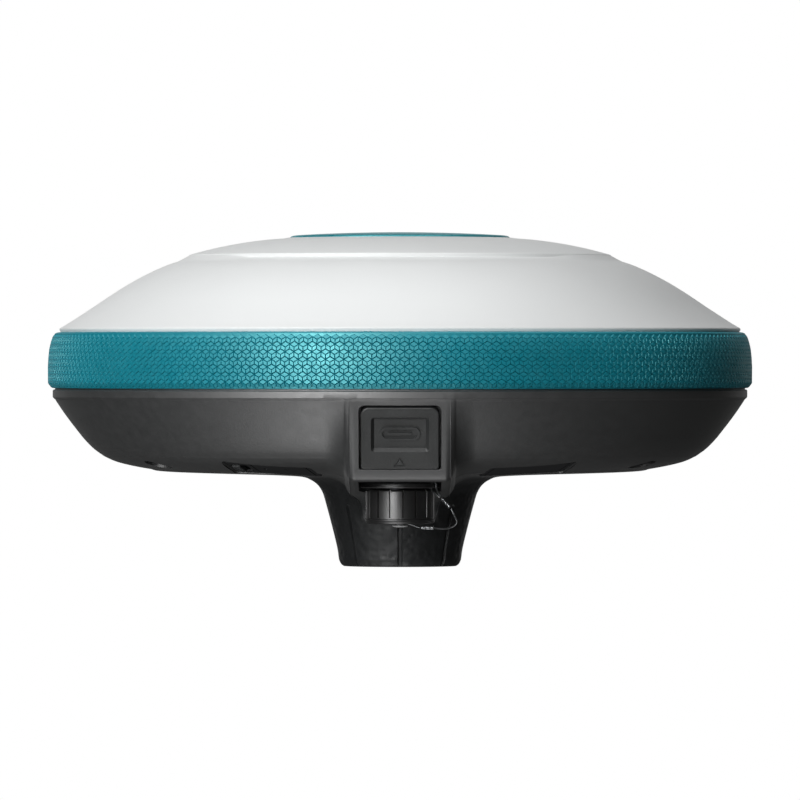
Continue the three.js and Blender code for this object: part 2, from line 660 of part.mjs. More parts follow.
// ---------------------------------------------------------------- GNSS antenna
STANDOFFS.forEach((at, n) => {
  const post = rod(2.6, ON_BOARD, PLANE_Z - GAP, at, 6);
  add(`antenna_standoff_${n + 1}`, cut(post, [rod(STANDOFF_HOLE_R, 50, 60, at, TINY)]), 'brass');
  const head = PLANE_Z + PLANE_T + GAP;
  const outline = [[0, 51], [1.2, 51], [1.2, head], [2.7, head], [2.7, head + 1.1], [0, head + 1.7]];
  add(`antenna_screw_${n + 1}`, turned(outline, TINY, place(...at, 0)), 'steel');
});
add(
  'ground_plane',
  cut(
    collar([PATCH_HOLE_R, BOARD_R], [PLANE_Z, PLANE_Z + PLANE_T]),
    STANDOFFS.map((at) => rod(1.6, 50, 60, at, TINY)),
  ),
  'aluminium',
);
add('lower_patch', collar([PATCH_HOLE_R, 35], [57.5, 62.4]), 'ceramic');
add('upper_patch', collar([PATCH_HOLE_R, 23], [62.7, 66.8]), 'ceramic');
const PATCH_SCREW = [[0, 56.4], [1.6, 56.4], [1.6, 67.1], [3.2, 67.1], [3.2, 68.6], [2.6, 69.2], [0, 69.2]];
add('patch_screw', turned(PATCH_SCREW), 'steel');
add('amplifier_shield', block([-25, -32, PLANE_Z - 5.8], [25, 4, PLANE_Z - GAP]), 'shield');

export default receiver;
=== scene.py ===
from math import atan2, cos, degrees, pi, radians, sin, sqrt

import bmesh
import bpy
import numpy as np
from mathutils import Matrix, Vector


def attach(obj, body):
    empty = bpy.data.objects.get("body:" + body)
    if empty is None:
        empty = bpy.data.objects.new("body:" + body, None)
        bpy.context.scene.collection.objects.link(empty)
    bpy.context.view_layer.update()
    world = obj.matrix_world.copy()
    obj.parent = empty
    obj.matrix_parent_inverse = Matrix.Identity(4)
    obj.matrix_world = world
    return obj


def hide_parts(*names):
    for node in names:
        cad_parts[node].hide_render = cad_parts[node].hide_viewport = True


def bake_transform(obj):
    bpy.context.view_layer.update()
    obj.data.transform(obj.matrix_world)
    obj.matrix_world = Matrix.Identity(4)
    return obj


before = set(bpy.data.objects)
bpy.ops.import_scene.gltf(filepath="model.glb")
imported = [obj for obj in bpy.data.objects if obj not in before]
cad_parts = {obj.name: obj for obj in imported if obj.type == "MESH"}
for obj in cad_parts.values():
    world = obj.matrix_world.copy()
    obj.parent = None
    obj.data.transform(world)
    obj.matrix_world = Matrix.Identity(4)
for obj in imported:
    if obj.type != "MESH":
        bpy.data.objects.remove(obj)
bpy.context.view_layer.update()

# The receiver's looks. Shapes are worked out in millimetres and scaled once, in finished().
MM = 0.001

# ---- driving dimensions, mm
BODY_R = 80.0
BAND_Z = (40.4, 53.1)
RIM_R = 78.9
RIM_Z = 40.1
FLOOR_Z = 22.9
NECK_R = 13.3
SKIRT_R = (72.8, 75.2)
DISC_R = 25.0
GAP = 0.3

PORT_TILT = 20.0
PORT_TOP = (0.0, -77.37, 36.35)
PORT_Y = -7.2
COVER_W = 17.2
COVER_H = 14.42
COVER_T = 1.8

CHIN_HALF = 11.2
SLOT_HALF = 9.2
SLOT_TOP = 19.95

JACK_Y = -36.0
JACK_R = 5.55
JACK_END = 13.2
CAP_R = 7.65
CAP_Z = (10.2, 17.9)
RIVET_Z = 9.35
WIRE_R = 0.225
ROPE_SIDES = 21
STRANDS = 7
STRAND_ROOT = 0.82  # where two strands meet, as a share of the rope's radius
STRAND_DEPTH = 0.18
LAY = 1.9  # length of one turn of the rope's strands

INSERT_R = 9.9
THREAD_R = 6.9
SOCKET_DEPTH = 19.6

PANEL_TILT = 42.5
PANEL_AT = (0.0, 73.0, 30.2)
PANEL_HALF = (17.0, 5.8)
BUTTON_R = 4.6
PIPE_X = (9.6, 13.4)
PIPES = [(side * x, 0) for side in (-1, 1) for x in PIPE_X]
PIPE_R = 0.9

DOOR_AT = (28.25, -48.9, 22.5)
DOOR_SIZE = (19.6, 13.0)
DOOR_T = 1.2
DOOR_TURN = 13.8
DOOR_SLOPE = 0.19
DOOR_AZIMUTH = 30.0

SCREW_ANGLES = (15, 65, 115, 165, 210, 330)
SCREW_R = 62.5
STANDOFFS = ((-44, 30), (44, 30), (0, -51))
BOARD_Z = 31.0

# ---- camera
CAMERA_FAR = 2.18
CAMERA_HEIGHT = 0.0475
AIM_HEIGHT = 0.0377
SENSOR = 36.0
VIEW_WIDTH = 0.18184  # what the picture spans at the object


def placed(name, data):
    """A new object in the scene."""
    made = bpy.data.objects.new(name, data)
    bpy.context.scene.collection.objects.link(made)
    return made


def make_camera():
    data = bpy.data.cameras.new("camera")
    data.sensor_width = SENSOR
    data.lens = SENSOR * CAMERA_FAR / VIEW_WIDTH
    camera = placed("camera", data)
    camera.location = (0, -CAMERA_FAR, CAMERA_HEIGHT)
    aim = Vector((0, 0, AIM_HEIGHT)) - camera.location
    camera.rotation_euler = aim.to_track_quat("-Z", "Y").to_euler()
    data.clip_start, data.clip_end = 0.05, 50
    bpy.context.scene.camera = camera


make_camera()


# ---- materials
def linear(value):
    value = value / 255
    return value / 12.92 if value <= 0.04045 else ((value + 0.055) / 1.055) ** 2.4


def rgb(red, green, blue):
    return (linear(red), linear(green), linear(blue), 1.0)


def shade(colour, factor):
    return tuple(min(1.0, part * factor) for part in colour[:3]) + (1.0,)


def fill(node, values):
    """Sets a node's inputs by name."""
    for name, value in values.items():
        node.inputs[name].default_value = value


class Finish:
    """A material's node tree, with short calls for the textures the finishes share."""

    def __init__(self, name, roughness, metallic=0.0, specular=0.5, coat=0.0, index=1.5):
        self.material = bpy.data.materials.new(name)
        self.material.use_nodes = True
        self.nodes = self.material.node_tree.nodes
        self.links = self.material.node_tree.links
        self.shader = self.nodes["Principled BSDF"]
        fill(self.shader, {"Roughness": roughness, "Metallic": metallic, "IOR": index})
        fill(self.shader, {"Specular IOR Level": specular, "Coat Weight": coat})
        self.place = self.nodes.new("ShaderNodeTexCoord").outputs["Object"]
        self.normal = None

    def join(self, source, target):
        self.links.new(source, target)

    def noise(self, scale, detail=3.0, rough=0.55, stretch=None):
        node = self.nodes.new("ShaderNodeTexNoise")
        fill(node, {"Scale": scale, "Detail": detail, "Roughness": rough})
        place = self.place
        if stretch:
            mapping = self.nodes.new("ShaderNodeMapping")
            fill(mapping, {"Scale": stretch})
            self.join(place, mapping.inputs["Vector"])
            place = mapping.outputs["Vector"]
        self.join(place, node.inputs["Vector"])
        return node.outputs["Fac"]

    def cells(self, scale, feature="F1"):
        node = self.nodes.new("ShaderNodeTexVoronoi")
        node.feature = feature
        fill(node, {"Scale": scale})
        self.join(self.place, node.inputs["Vector"])
        return node.outputs["Distance"]

    def spread(self, source, low, high, start=0.3, stop=0.7):
        node = self.nodes.new("ShaderNodeMapRange")
        fill(node, {"From Min": start, "From Max": stop, "To Min": low, "To Max": high})
        self.join(source, node.inputs["Value"])
        return node.outputs["Result"]

    def maths(self, operation, first, second):
        node = self.nodes.new("ShaderNodeMath")
        node.operation = operation
        for socket, value in zip(node.inputs, (first, second)):
            if isinstance(value, (int, float)):
                socket.default_value = value
            else:
                self.join(value, socket)
        return node.outputs["Value"]

    def blend(self, amount, first, second):
        node = self.nodes.new("ShaderNodeMix")
        node.data_type = "RGBA"
        self.join(amount, node.inputs["Factor"])
        for socket, value in ((node.inputs[6], first), (node.inputs[7], second)):
            if isinstance(value, tuple):
                socket.default_value = value
            else:
                self.join(value, socket)
        return node.outputs[2]

    def mottle(self, source, colour, low, high):
        """A colour that drifts between two shades of itself."""
        return self.blend(self.spread(source, 0.0, 1.0), shade(colour, low), shade(colour, high))

    def edges(self, low, high, flat=0.0, sharp=1.0):
        """A value that runs from flat faces to convex edges, or the other way to hollows."""
        node = self.nodes.new("ShaderNodeNewGeometry")
        return self.spread(node.outputs["Pointiness"], flat, sharp, low, high)

    def colour(self, source):
        self.join(source, self.shader.inputs["Base Color"])

    def roughness(self, source, low, high):
        self.join(self.spread(source, low, high), self.shader.inputs["Roughness"])

    def bump(self, height, distance):
        node = self.nodes.new("ShaderNodeBump")
        fill(node, {"Strength": 1.0, "Distance": distance})
        self.join(height, node.inputs["Height"])
        if self.normal:
            self.join(self.normal, node.inputs["Normal"])
        self.normal = node.outputs["Normal"]
        self.join(self.normal, self.shader.inputs["Normal"])


def moulded(name, colour, rough, grain, height, vary=0.06, wear=0.0, specular=0.5, index=1.5):
    """Moulded plastic or rubber: fine grain, slow colour drift and lighter worn edges."""
    made = Finish(name, rough, specular=specular, index=index)
    base = made.mottle(made.noise(38, 2.0), colour, 1 - vary, 1 + vary)
    if wear:
        edges = made.edges(0.52, 0.6)
        worn = made.maths("MULTIPLY", edges, made.spread(made.noise(900, 4.0), 0.0, wear))
        base = made.blend(worn, base, shade(colour, 3.0))
    made.colour(base)
    made.roughness(made.noise(160, 3.0), rough - 0.05, rough + 0.06)
    made.bump(made.noise(grain, 2.0), height)
    return made.material


def metal(name, colour, rough, brushed=(1, 1, 1)):
    """Bare metal with fine machining marks, smudges and a little tarnish."""
    made = Finish(name, rough, metallic=1.0)
    marks = made.noise(2600, 4.0, 0.6, brushed)
    made.colour(made.mottle(made.noise(120, 3.0), colour, 0.9, 1.1))
    made.roughness(made.noise(300, 4.0), rough - 0.07, rough + 0.09)
    made.bump(marks, 0.000012)
    return made.material


def radome_finish():
    """Satin white cover with an even, very fine spark-eroded texture."""
    white = rgb(228, 230, 230)
    made = Finish("radome_white", 0.4, specular=0.45)
    made.colour(made.mottle(made.noise(22, 2.0), white, 0.985, 1.012))
    made.roughness(made.noise(240, 3.0), 0.37, 0.46)
    made.bump(made.noise(2400, 2.0), 0.000018)
    made.bump(made.noise(160, 1.0), 0.00001)
    return made.material


def teal_finish(name, colour, rough, grain, height, grooved=False):
    """Dyed elastomer with a slow colour drift; on the grooved band, painted shade darkens the
    grooves and the edges are paler with wear.
    """
    made = Finish(name, rough, specular=0.65, index=2.15)
    made.shader.inputs["Specular Tint"].default_value = (0.38, 1.0, 1.0, 1)
    base = made.mottle(made.noise(60, 3.0), colour, 0.94, 1.06)
    if grooved:
        # painted shade: the colour drops to 0.4 of itself in the grooves' hollows, where shade
        # falls
        base = made.blend(made.edges(0.42, 0.5, 0.75, 0.0), base, shade(colour, 0.4))
        worn = made.spread(made.edges(0.53, 0.62), 0.0, 0.25, 0, 1)
        base = made.blend(worn, base, shade(colour, 1.5))
    made.colour(base)
    made.roughness(made.noise(400, 3.0), rough - 0.06, rough + 0.06)
    made.bump(made.noise(grain, 3.0), height)
    return made.material


def housing_finish():
    """Dark glass-filled nylon: an even spark texture on the bowl, leather grain on the neck."""
    grey = rgb(27, 29, 30)
    made = Finish("housing_grey", 0.52, specular=0.7, index=2.2)
    base = made.mottle(made.noise(34, 3.0), grey, 0.92, 1.08)
    base = made.blend(made.spread(made.cells(1500), 0.0, 0.3, 0.2, 0.75), base, shade(grey, 1.7))
    made.colour(base)
    made.roughness(made.noise(500, 3.0), 0.5, 0.56)

    # how far a point is onto the neck: 1 below the root of the neck, 0 on the bowl
    apart = made.nodes.new("ShaderNodeSeparateXYZ")
    made.join(made.place, apart.inputs["Vector"])
    x, y = (made.maths("POWER", apart.outputs[axis], 2.0) for axis in "XY")
    away = made.maths("SQRT", made.maths("ADD", x, y), 0.0)
    neck = made.spread(away, 1.0, 0.0, 0.019, 0.026)
    fine = made.noise(1700, 3.0, 0.6)
    leather = made.cells(620, "SMOOTH_F1")
    fine_part = made.maths("MULTIPLY", fine, made.maths("SUBTRACT", 1.0, neck))
    leather_part = made.maths("MULTIPLY", leather, made.maths("MULTIPLY", neck, 4.0))
    made.join(made.spread(neck, 0.7, 0.22, 0, 1), made.shader.inputs["Specular IOR Level"])
    made.bump(made.maths("ADD", made.maths("MULTIPLY", fine_part, 0.4), leather_part), 0.00006)
    return made.material


def board_finish():
    """Solder mask over copper traces, with pale printed marks and tinned pads."""
    green = rgb(24, 88, 52)
    made = Finish("circuit_green", 0.38)
    trace = made.cells(420, "DISTANCE_TO_EDGE")
    base = made.blend(made.spread(trace, 1.0, 0.0, 0.02, 0.06), green, shade(green, 1.6))
    base = made.blend(made.spread(made.cells(260), 1.0, 0.0, 0.12, 0.14), base, rgb(196, 198, 190))
    made.colour(base)
    made.roughness(made.noise(300, 3.0), 0.3, 0.45)
    made.bump(trace, 0.00003)
    return made.material


def pipe_finish():
    """Clear moulded light guide with a milky tint."""
    made = Finish("light_guide_clear", 0.16, coat=0.4)
    made.colour(made.mottle(made.noise(300), rgb(206, 226, 230), 0.9, 1.0))
    made.shader.inputs["Transmission Weight"].default_value = 0.5
    made.bump(made.noise(900), 0.00001)
    return made.material


def wrap_finish():
    """Shrink-wrapped cell: a glossy film with fine wrinkles."""
    made = Finish("cell_film", 0.3, coat=0.3)
    made.colour(made.mottle(made.noise(90), rgb(40, 96, 158), 0.85, 1.1))
    made.bump(made.noise(240, 3.0, 0.5, (0.25, 1, 1)), 0.00008)
    made.roughness(made.noise(200), 0.24, 0.38)
    return made.material


FINISHES = {
    "radome": radome_finish(),
    "teal_disc": teal_finish("disc_teal", rgb(22, 128, 140), 0.3, 1800, 0.00001),
    "teal_band": teal_finish("band_teal", rgb(0, 122, 140), 0.47, 3200, 0.000005, True),
    "housing": housing_finish(),
    "cover_rubber": moulded(
        "cover_rubber_grey", rgb(34, 36, 36), 0.5, 2600, 0.00003, 0.08, 0.3, index=1.9
    ),
    "seal": moulded("seal_black", rgb(26, 26, 27), 0.7, 1400, 0.00003),
    "cap_black": moulded(
        "cap_black_nylon", rgb(12, 12, 13), 0.42, 1900, 0.00001, 0.1, 0.35, 0.6, 2.1
    ),
    "plate_dark": moulded("plate_charcoal", rgb(33, 34, 36), 0.5, 2300, 0.00003, 0.08, 0.2),
    "steel": metal("stainless_steel", rgb(192, 194, 196), 0.28),
    "brass": metal("turned_brass", rgb(196, 160, 92), 0.3, (1, 1, 6)),
    "aluminium": metal("brushed_aluminium", rgb(186, 189, 192), 0.34, (6, 1, 1)),
    "shield_can": metal("tinned_shield", rgb(176, 180, 184), 0.33, (1, 5, 1)),
    "ceramic": moulded("fired_ceramic", rgb(222, 214, 196), 0.5, 1500, 0.00003),
    "circuit_board": board_finish(),
    "black_moulding": moulded("black_moulding_plastic", rgb(24, 25, 26), 0.5, 1700, 0.00003),
    "cell_wrap": wrap_finish(),
    "light_pipe": pipe_finish(),
}
LATCH_GREY = moulded("latch_grey", rgb(58, 60, 61), 0.6, 2300, 0.00003)
BRIGHT_RIVET = moulded("satin_nickel_rivet", rgb(214, 215, 216), 0.4, 1900, 0.000004, index=2.5)
DULL_STEEL = metal("drawn_steel_rope", rgb(150, 152, 154), 0.36)
BLACK_OXIDE = metal("black_oxide_steel", rgb(30, 30, 31), 0.62)
BLACK_NICKEL = metal("black_nickel", rgb(40, 40, 42), 0.34)
PRINT = moulded("symbol_print", rgb(198, 202, 202), 0.5, 2400, 0.00001)


# ---- mesh work
def raw(name, points, faces):
    """A mesh object in millimetres with its faces pointing out."""
    mesh = bpy.data.meshes.new(name)
    mesh.from_pydata([tuple(p) for p in points], [], [tuple(f) for f in faces])
    edit = bmesh.new()
    edit.from_mesh(mesh)
    bmesh.ops.remove_doubles(edit, verts=edit.verts, dist=1e-4)
    bmesh.ops.recalc_face_normals(edit, faces=edit.faces)
    if edit.calc_volume(signed=True) < 0:
        bmesh.ops.reverse_faces(edit, faces=edit.faces)
    edit.to_mesh(mesh)
    edit.free()
    return placed(name, mesh)


def skin(rings):
    """Faces between rings of corners, each ring joined to the next."""
    faces = []
    for low, high in zip(rings, rings[1:]):
        for n in range(len(low)):
            after = (n + 1) % len(low)
            face = (low[n], low[after], high[after], high[n])
            faces.append([c for k, c in enumerate(face) if c not in face[:k]])
    return faces


def closed(name, points, count):
    """A solid of rings of count points, with a flat face over each end."""
    rings = [range(first, first + count) for first in range(0, len(points), count)]
    return raw(name, points, [*skin(rings), rings[0], rings[-1]])


def combine(target, tools, operation):
    """Joins the tools to a solid, or cuts them out of it, one after another."""
    for tool in tools:
        step = target.modifiers.new("step", "BOOLEAN")
        step.operation = operation
        step.solver = "MANIFOLD"
        step.object = tool
        shapes = bpy.context.evaluated_depsgraph_get()
        result = bpy.data.meshes.new_from_object(target.evaluated_get(shapes))
        target.modifiers.clear()
        if len(result.polygons) == 0:
            raise RuntimeError(f"{operation} left nothing of {target.name} after {tool.name}")
        old = target.data
        target.data = result
        bpy.data.meshes.remove(old)
        bpy.data.objects.remove(tool)
    return target


def cut(target, *tools):
    return combine(target, tools, "DIFFERENCE")


def join(target, *tools):
    return combine(target, tools, "UNION")


WIDE_FACE = 6e-6  # square metres: on a flat piece, a face this large keeps one normal
FLAT_ANGLE = 10  # degrees: the least angle that shades sharp on a flat piece
LEVEL_ANGLE = 0.3  # degrees: on a flat piece, faces this close to level are one face


def finished(made, slot, body, *nodes, angle=32, material=None, flat=False):
    """Scales a piece to metres, shades it, gives it a finish and puts it on its body."""
    edit = bmesh.new()
    edit.from_mesh(made.data)
    bmesh.ops.dissolve_degenerate(edit, dist=1e-4, edges=edit.edges)
    if flat:
        level = radians(LEVEL_ANGLE)
        bmesh.ops.dissolve_limit(edit, angle_limit=level, verts=edit.verts, edges=edit.edges)
    bmesh.ops.scale(edit, vec=(MM, MM, MM), verts=edit.verts)
    limit = radians(FLAT_ANGLE if flat else angle)
    for face in edit.faces:
        face.smooth = True
    for edge in edit.edges:
        edge.smooth = len(edge.link_faces) == 2 and edge.calc_face_angle(0) < limit
        if flat and max((face.calc_area() for face in edge.link_faces), default=0) > WIDE_FACE:
            edge.smooth = False
    edit.to_mesh(made.data)
    edit.free()
    made.data.materials.clear()
    made.data.materials.append(material or FINISHES[slot])
    weigh = made.modifiers.new("even_normals", "WEIGHTED_NORMAL")
    weigh.keep_sharp = True
    if body:
        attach(made, body)
    if nodes:
        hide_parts(*nodes)
    return made


def lathe(name, outline, segments=96, vary=None, at=(0.0, 0.0)):
    """A solid turned about Z. vary moves the outline's points with the angle."""
    outline = np.array(outline, float)
    points, rings = [], []
    for radius, height in outline:
        if radius < 1e-6:
            rings.append([len(points)] * segments)
            points.append((at[0], at[1], height))
            continue
        ring = []
        for step in range(segments):
            angle = 2 * pi * step / segments
            r, z = vary(angle, radius, height) if vary else (radius, height)
            ring.append(len(points))
            points.append((at[0] + r * cos(angle), at[1] + r * sin(angle), z))
        rings.append(ring)
    if outline[0][0] > 1e-6:
        rings.append(rings[0])
    return raw(name, points, skin(rings))


def through(points, step):
    """Points about step apart along a smooth curve through the given ones."""
    points = [np.array(p, float) for p in points]
    ends = [2 * points[0] - points[1], *points, 2 * points[-1] - points[-2]]
    made = []
    for before, start, stop, after in zip(ends, ends[1:], ends[2:], ends[3:]):
        count = max(1, round(float(np.linalg.norm(stop - start)) / step))
        for n in range(count):
            t = n / count
            curve = 2 * start + (stop - before) * t
            curve = curve + (2 * before - 5 * start + 4 * stop - after) * t**2
            curve = curve + (3 * start - before - 3 * stop + after) * t**3
            made.append(0.5 * curve)
    made.append(points[-1])
    return made


def straight(points, step):
    """Points about step apart along straight lines between the given ones."""
    made = []
    for start, stop in zip(points, points[1:]):
        start, stop = np.array(start, float), np.array(stop, float)
        count = max(1, round(float(np.linalg.norm(stop - start)) / step))
        made += [start + (stop - start) * n / count for n in range(count)]
    return made + [np.array(points[-1], float)]


def arc(centre, radius, start, stop, count=8):
    """Points round part of a circle, angles in degrees."""
    angles = np.radians(np.linspace(start, stop, count))
    return [(centre[0] + radius * cos(a), centre[1] + radius * sin(a)) for a in angles]


def rounded(x0, y0, x1, y1, top, bottom=None, count=11):
    """A rounded rectangle's outline."""
    low = top if bottom is None else bottom
    return [
        *arc((x1 - low, y0 + low), low, -90, 0, count),
        *arc((x1 - top, y1 - top), top, 0, 90, count),
        *arc((x0 + top, y1 - top), top, 90, 180, count),
        *arc((x0 + low, y0 + low), low, 180, 270, count),
    ]


def pane(x, y, corner):
    """A rounded rectangle's outline about the middle."""
    return rounded(-x, -y, x, y, corner)


def grown(outline, amount):
    """An outline moved outwards by an amount, with mitred corners."""
    p = np.array(outline, float)
    keep = np.linalg.norm(p - np.roll(p, 1, 0), axis=1) > 1e-6
    p = p[keep]
    back, ahead = p - np.roll(p, 1, 0), np.roll(p, -1, 0) - p
    back /= np.linalg.norm(back, axis=1)[:, None]
    ahead /= np.linalg.norm(ahead, axis=1)[:, None]
    first = np.stack([back[:, 1], -back[:, 0]], 1)
    second = np.stack([ahead[:, 1], -ahead[:, 0]], 1)
    mitre = (first + second) / (1 + (first * second).sum(1))[:, None]
    return p + amount * mitre


IDENTITY = Matrix.Identity(4)


def stack(name, outline, levels, matrix=IDENTITY):
    """A solid of an outline at several heights, each with how far it is grown there."""
    loops = [grown(outline, grow) for _, grow in levels]
    points = [
        matrix @ Vector((x, y, height)) for loop, (height, _) in zip(loops, levels) for x, y in loop
    ]
    return closed(name, points, len(loops[0]))


def hoop(name, outline, width, low, high, matrix):
    """A raised or sunk line that follows an outline, inside it."""
    outer, inner = grown(outline, 0), grown(outline, -width)
    count = len(outer)
    loops = [(outer, low), (outer, high), (inner, high), (inner, low)]
    points = [matrix @ Vector((x, y, z)) for loop, z in loops for x, y in loop]
    rings = [range(level * count, (level + 1) * count) for level in (0, 1, 2, 3, 0)]
    return raw(name, points, skin(rings))


def stroke(points, width):
    """The outline of a line of some width along points."""
    p = np.array(points, float)
    way = np.gradient(p, axis=0)
    way /= np.linalg.norm(way, axis=1)[:, None]
    side = np.stack([way[:, 1], -way[:, 0]], 1) * width / 2
    return [*(p + side), *(p - side)[::-1]]


def eased(low, high, radius):
    """Heights and growths of a slab whose upper edge is rounded."""
    angles = np.linspace(0, pi / 2, 5)
    top = [(high - radius + radius * sin(a), -radius + radius * cos(a)) for a in angles]
    return [(low, 0.0), *top]


def rope(name, path):
    """A wire rope along points, with the strands of its lay on its skin."""
    path = [Vector(p) for p in through(path, 0.09)]
    points = []
    side = Vector((0, 0, 1)).cross(path[1] - path[0])
    gone = 0.0
    for n, here in enumerate(path):
        ahead = path[min(n + 1, len(path) - 1)]
        behind = path[max(n - 1, 0)]
        way = (ahead - behind).normalized()
        side = (side - way * side.dot(way)).normalized()
        other = way.cross(side)
        gone += (here - behind).length
        for k in range(ROPE_SIDES):
            angle = 2 * pi * k / ROPE_SIDES
            phase = STRANDS * (angle + 2 * pi * gone / LAY) / 2
            r = WIRE_R * (STRAND_ROOT + STRAND_DEPTH * abs(cos(phase)))
            points.append(here + side * (r * cos(angle)) + other * (r * sin(angle)))
    return closed(name, points, ROPE_SIDES)


# ---- local frames, mm
def wall_frame(at, tilt, front):
    """x across, y up the slope, z out of the wall."""
    s, c = sin(radians(tilt)), cos(radians(tilt))
    way = -1 if front else 1
    axes = Matrix(((-way, 0, 0), (0, way * s, way * c), (0, c, -s)))
    return Matrix.Translation(at) @ axes.to_4x4()


def under_frame(side):
    """x along the door, y towards the pole axis, z up into the housing."""
    azimuth = radians(DOOR_AZIMUTH)
    outward = Vector((side * sin(azimuth), -cos(azimuth), 0))
    up = Vector((-outward.x * DOOR_SLOPE, -outward.y * DOOR_SLOPE, 1)).normalized()
    turn = radians(side * DOOR_TURN)
    x = Vector((cos(turn), sin(turn), 0))
    x = (x - up * x.dot(up)).normalized()
    y = up.cross(x)
    axes = Matrix((x, y, up)).transposed()
    return Matrix.Translation((side * DOOR_AT[0], DOOR_AT[1], DOOR_AT[2])) @ axes.to_4x4()


PORT = wall_frame(PORT_TOP, PORT_TILT, True)
PANEL = wall_frame(PANEL_AT, PANEL_TILT, False)
DOOR = under_frame(-1)
PLATE = under_frame(1)
ON_JACK = (0.0, JACK_Y)
JACK = Matrix.Translation((0, JACK_Y, 0))


def turned(axis, angle):
    return Matrix.Rotation(radians(angle), 4, axis)


def on_circle(radius, angle):
    return (radius * cos(radians(angle)), radius * sin(radians(angle)))


def box(name, low, high, matrix=IDENTITY):
    """A block between two corners, used to join to or cut other shapes."""
    outline = [(low[0], low[1]), (high[0], low[1]), (high[0], high[1]), (low[0], high[1])]
    return stack(name, outline, [(low[2], 0), (high[2], 0)], matrix)


def disc(name, radius, low, high, at=(0, 0), matrix=IDENTITY, segments=48):
    """A round pin, used to join to or cut other shapes."""
    outline = arc(at, radius, 0, 360 * (segments - 1) / segments, segments)
    return stack(name, outline, [(low, 0), (high, 0)], matrix)


# ---- top cover
STEP_R = 48.0
STEP_FOOT = 50.5  # where the step's slope ends at the sides of the cover
STEP_SLOPE = 0.54
DOME = [
    (48.4, 69.75), (52.7, 68.4), (57.0, 66.5), (61.3, 64.2), (65.5, 61.6), (69.5, 58.9),
    (72.8, 56.75), (75.2, 55.2), (77.0, 54.15),
]


CROWN_TOP = 74.55
CROWN_FLAT_R = 21
CROWN_BEND = 0.0054
WIDENS_FROM = 43  # degrees from the front where the step starts to widen
WIDENS_OVER = 11


def crown(r):
    return CROWN_TOP - CROWN_BEND * max(r - CROWN_FLAT_R, 0) ** 2


def step_widens(angle, r, z):
    """An upright step at the front and back that turns into a wide slope at the sides."""
    if not STEP_R + 0.02 < r < STEP_FOOT:
        return r, z
    from_front = abs(degrees(atan2(abs(cos(angle)), abs(sin(angle)))))
    t = min(max((from_front - WIDENS_FROM) / WIDENS_OVER, 0), 1)
    share = t * t * (3 - 2 * t)
    sloped = DOME[0][1] + 0.7 - STEP_SLOPE * (r - STEP_R)
    return r, z + (max(sloped, z) - z) * share


def make_cover():
    edge = crown(STEP_R - 0.4)
    outline = [(0, 72.9), (12, 72.9), (DISC_R + 0.25, 72.9)]
    outline += [(DISC_R + 0.25, 74.4), (DISC_R + 0.4, 74.56)]
    outline += [(r, crown(r)) for r in np.linspace(26.5, STEP_R - 0.4, 26)]
    outline += [(STEP_R - 0.15, edge - 0.1), (STEP_R, edge - 0.3), (STEP_R + 0.05, edge - 0.5)]
    outline += [(STEP_R + 0.2, DOME[0][1] + 0.12)]
    outline += [tuple(p) for p in through(DOME, 0.7)]
    outline += [(77.25, 53.98), (77.35, 53.75), (77.3, 53.42), (77.15, 53.38), (77.1, 53.12)]
    outline += [(SKIRT_R[1], 53.12)]
    outline += [(SKIRT_R[1], RIM_Z + 0.8), (SKIRT_R[0], RIM_Z + 0.8), (SKIRT_R[0], 53.6)]
    outline += [(64.5, 59.6), (55, 64.8), (45, 68.4), (32, 70.6), (0, 70.6)]
    cover = lathe("radome_shell", outline, 360, step_widens)
    posts = [disc("post", 3.6, 30.3, 60.5, on_circle(SCREW_R, a)) for a in SCREW_ANGLES]
    pilots = [disc("pilot", 1.6, 30, 42, on_circle(SCREW_R, a)) for a in SCREW_ANGLES]
    join(cover, *posts)
    cut(cover, *pilots)
    finished(cover, "radome", "receiver", "top_cover")


make_cover()

DISC_TOP = 75.8
DISC_BEND = 0.00126
disc_outline = [(0, 73.2), (24.6, 73.2), (24.9, 73.35), (DISC_R, 73.6), (DISC_R, 74.45)]
disc_outline += [(24.92, 74.68), (24.7, 74.86), (24.3, 75.0)]
disc_outline += [(r, DISC_TOP - DISC_BEND * r * r) for r in np.linspace(23.6, 1.0, 24)]
disc_outline += [(0, DISC_TOP)]
finished(lathe("disc_inlay", disc_outline, 256), "teal_disc", "receiver", "top_disc")

# ---- bumper band
COLUMNS = 244  # repeats of the pattern round the band
ROWS = 7
ROW_TOP = 51.95  # middle of the top row's lozenges
ROW_STEP = 1.66
UPRIGHT = 1.0  # length of a cell's upright edges
SLANT = 0.61  # rise of its slanting edges
GROOVE = 0.115  # half the width of the engraved line
GROOVE_DEPTH = 0.24
PATTERN_Z = (40.62, 52.62)
BAND_FACE = [
    (40.4, 79.1), (41.5, 79.97), (45.2, 80.0), (47.4, 79.88), (49.3, 79.68), (50.9, 79.3),
    (52.2, 78.85), (52.65, 78.48),
]


def band_point(column, height, depth):
    """A point on the band's face, column counted in pattern repeats, sunk by depth."""
    height = min(max(height, PATTERN_Z[0]), PATTERN_Z[1])
    heights, radii = zip(*BAND_FACE)
    radius = float(np.interp(height, heights, radii)) - depth
    angle = 2 * pi * column / COLUMNS
    return (radius * cos(angle), radius * sin(angle), height)


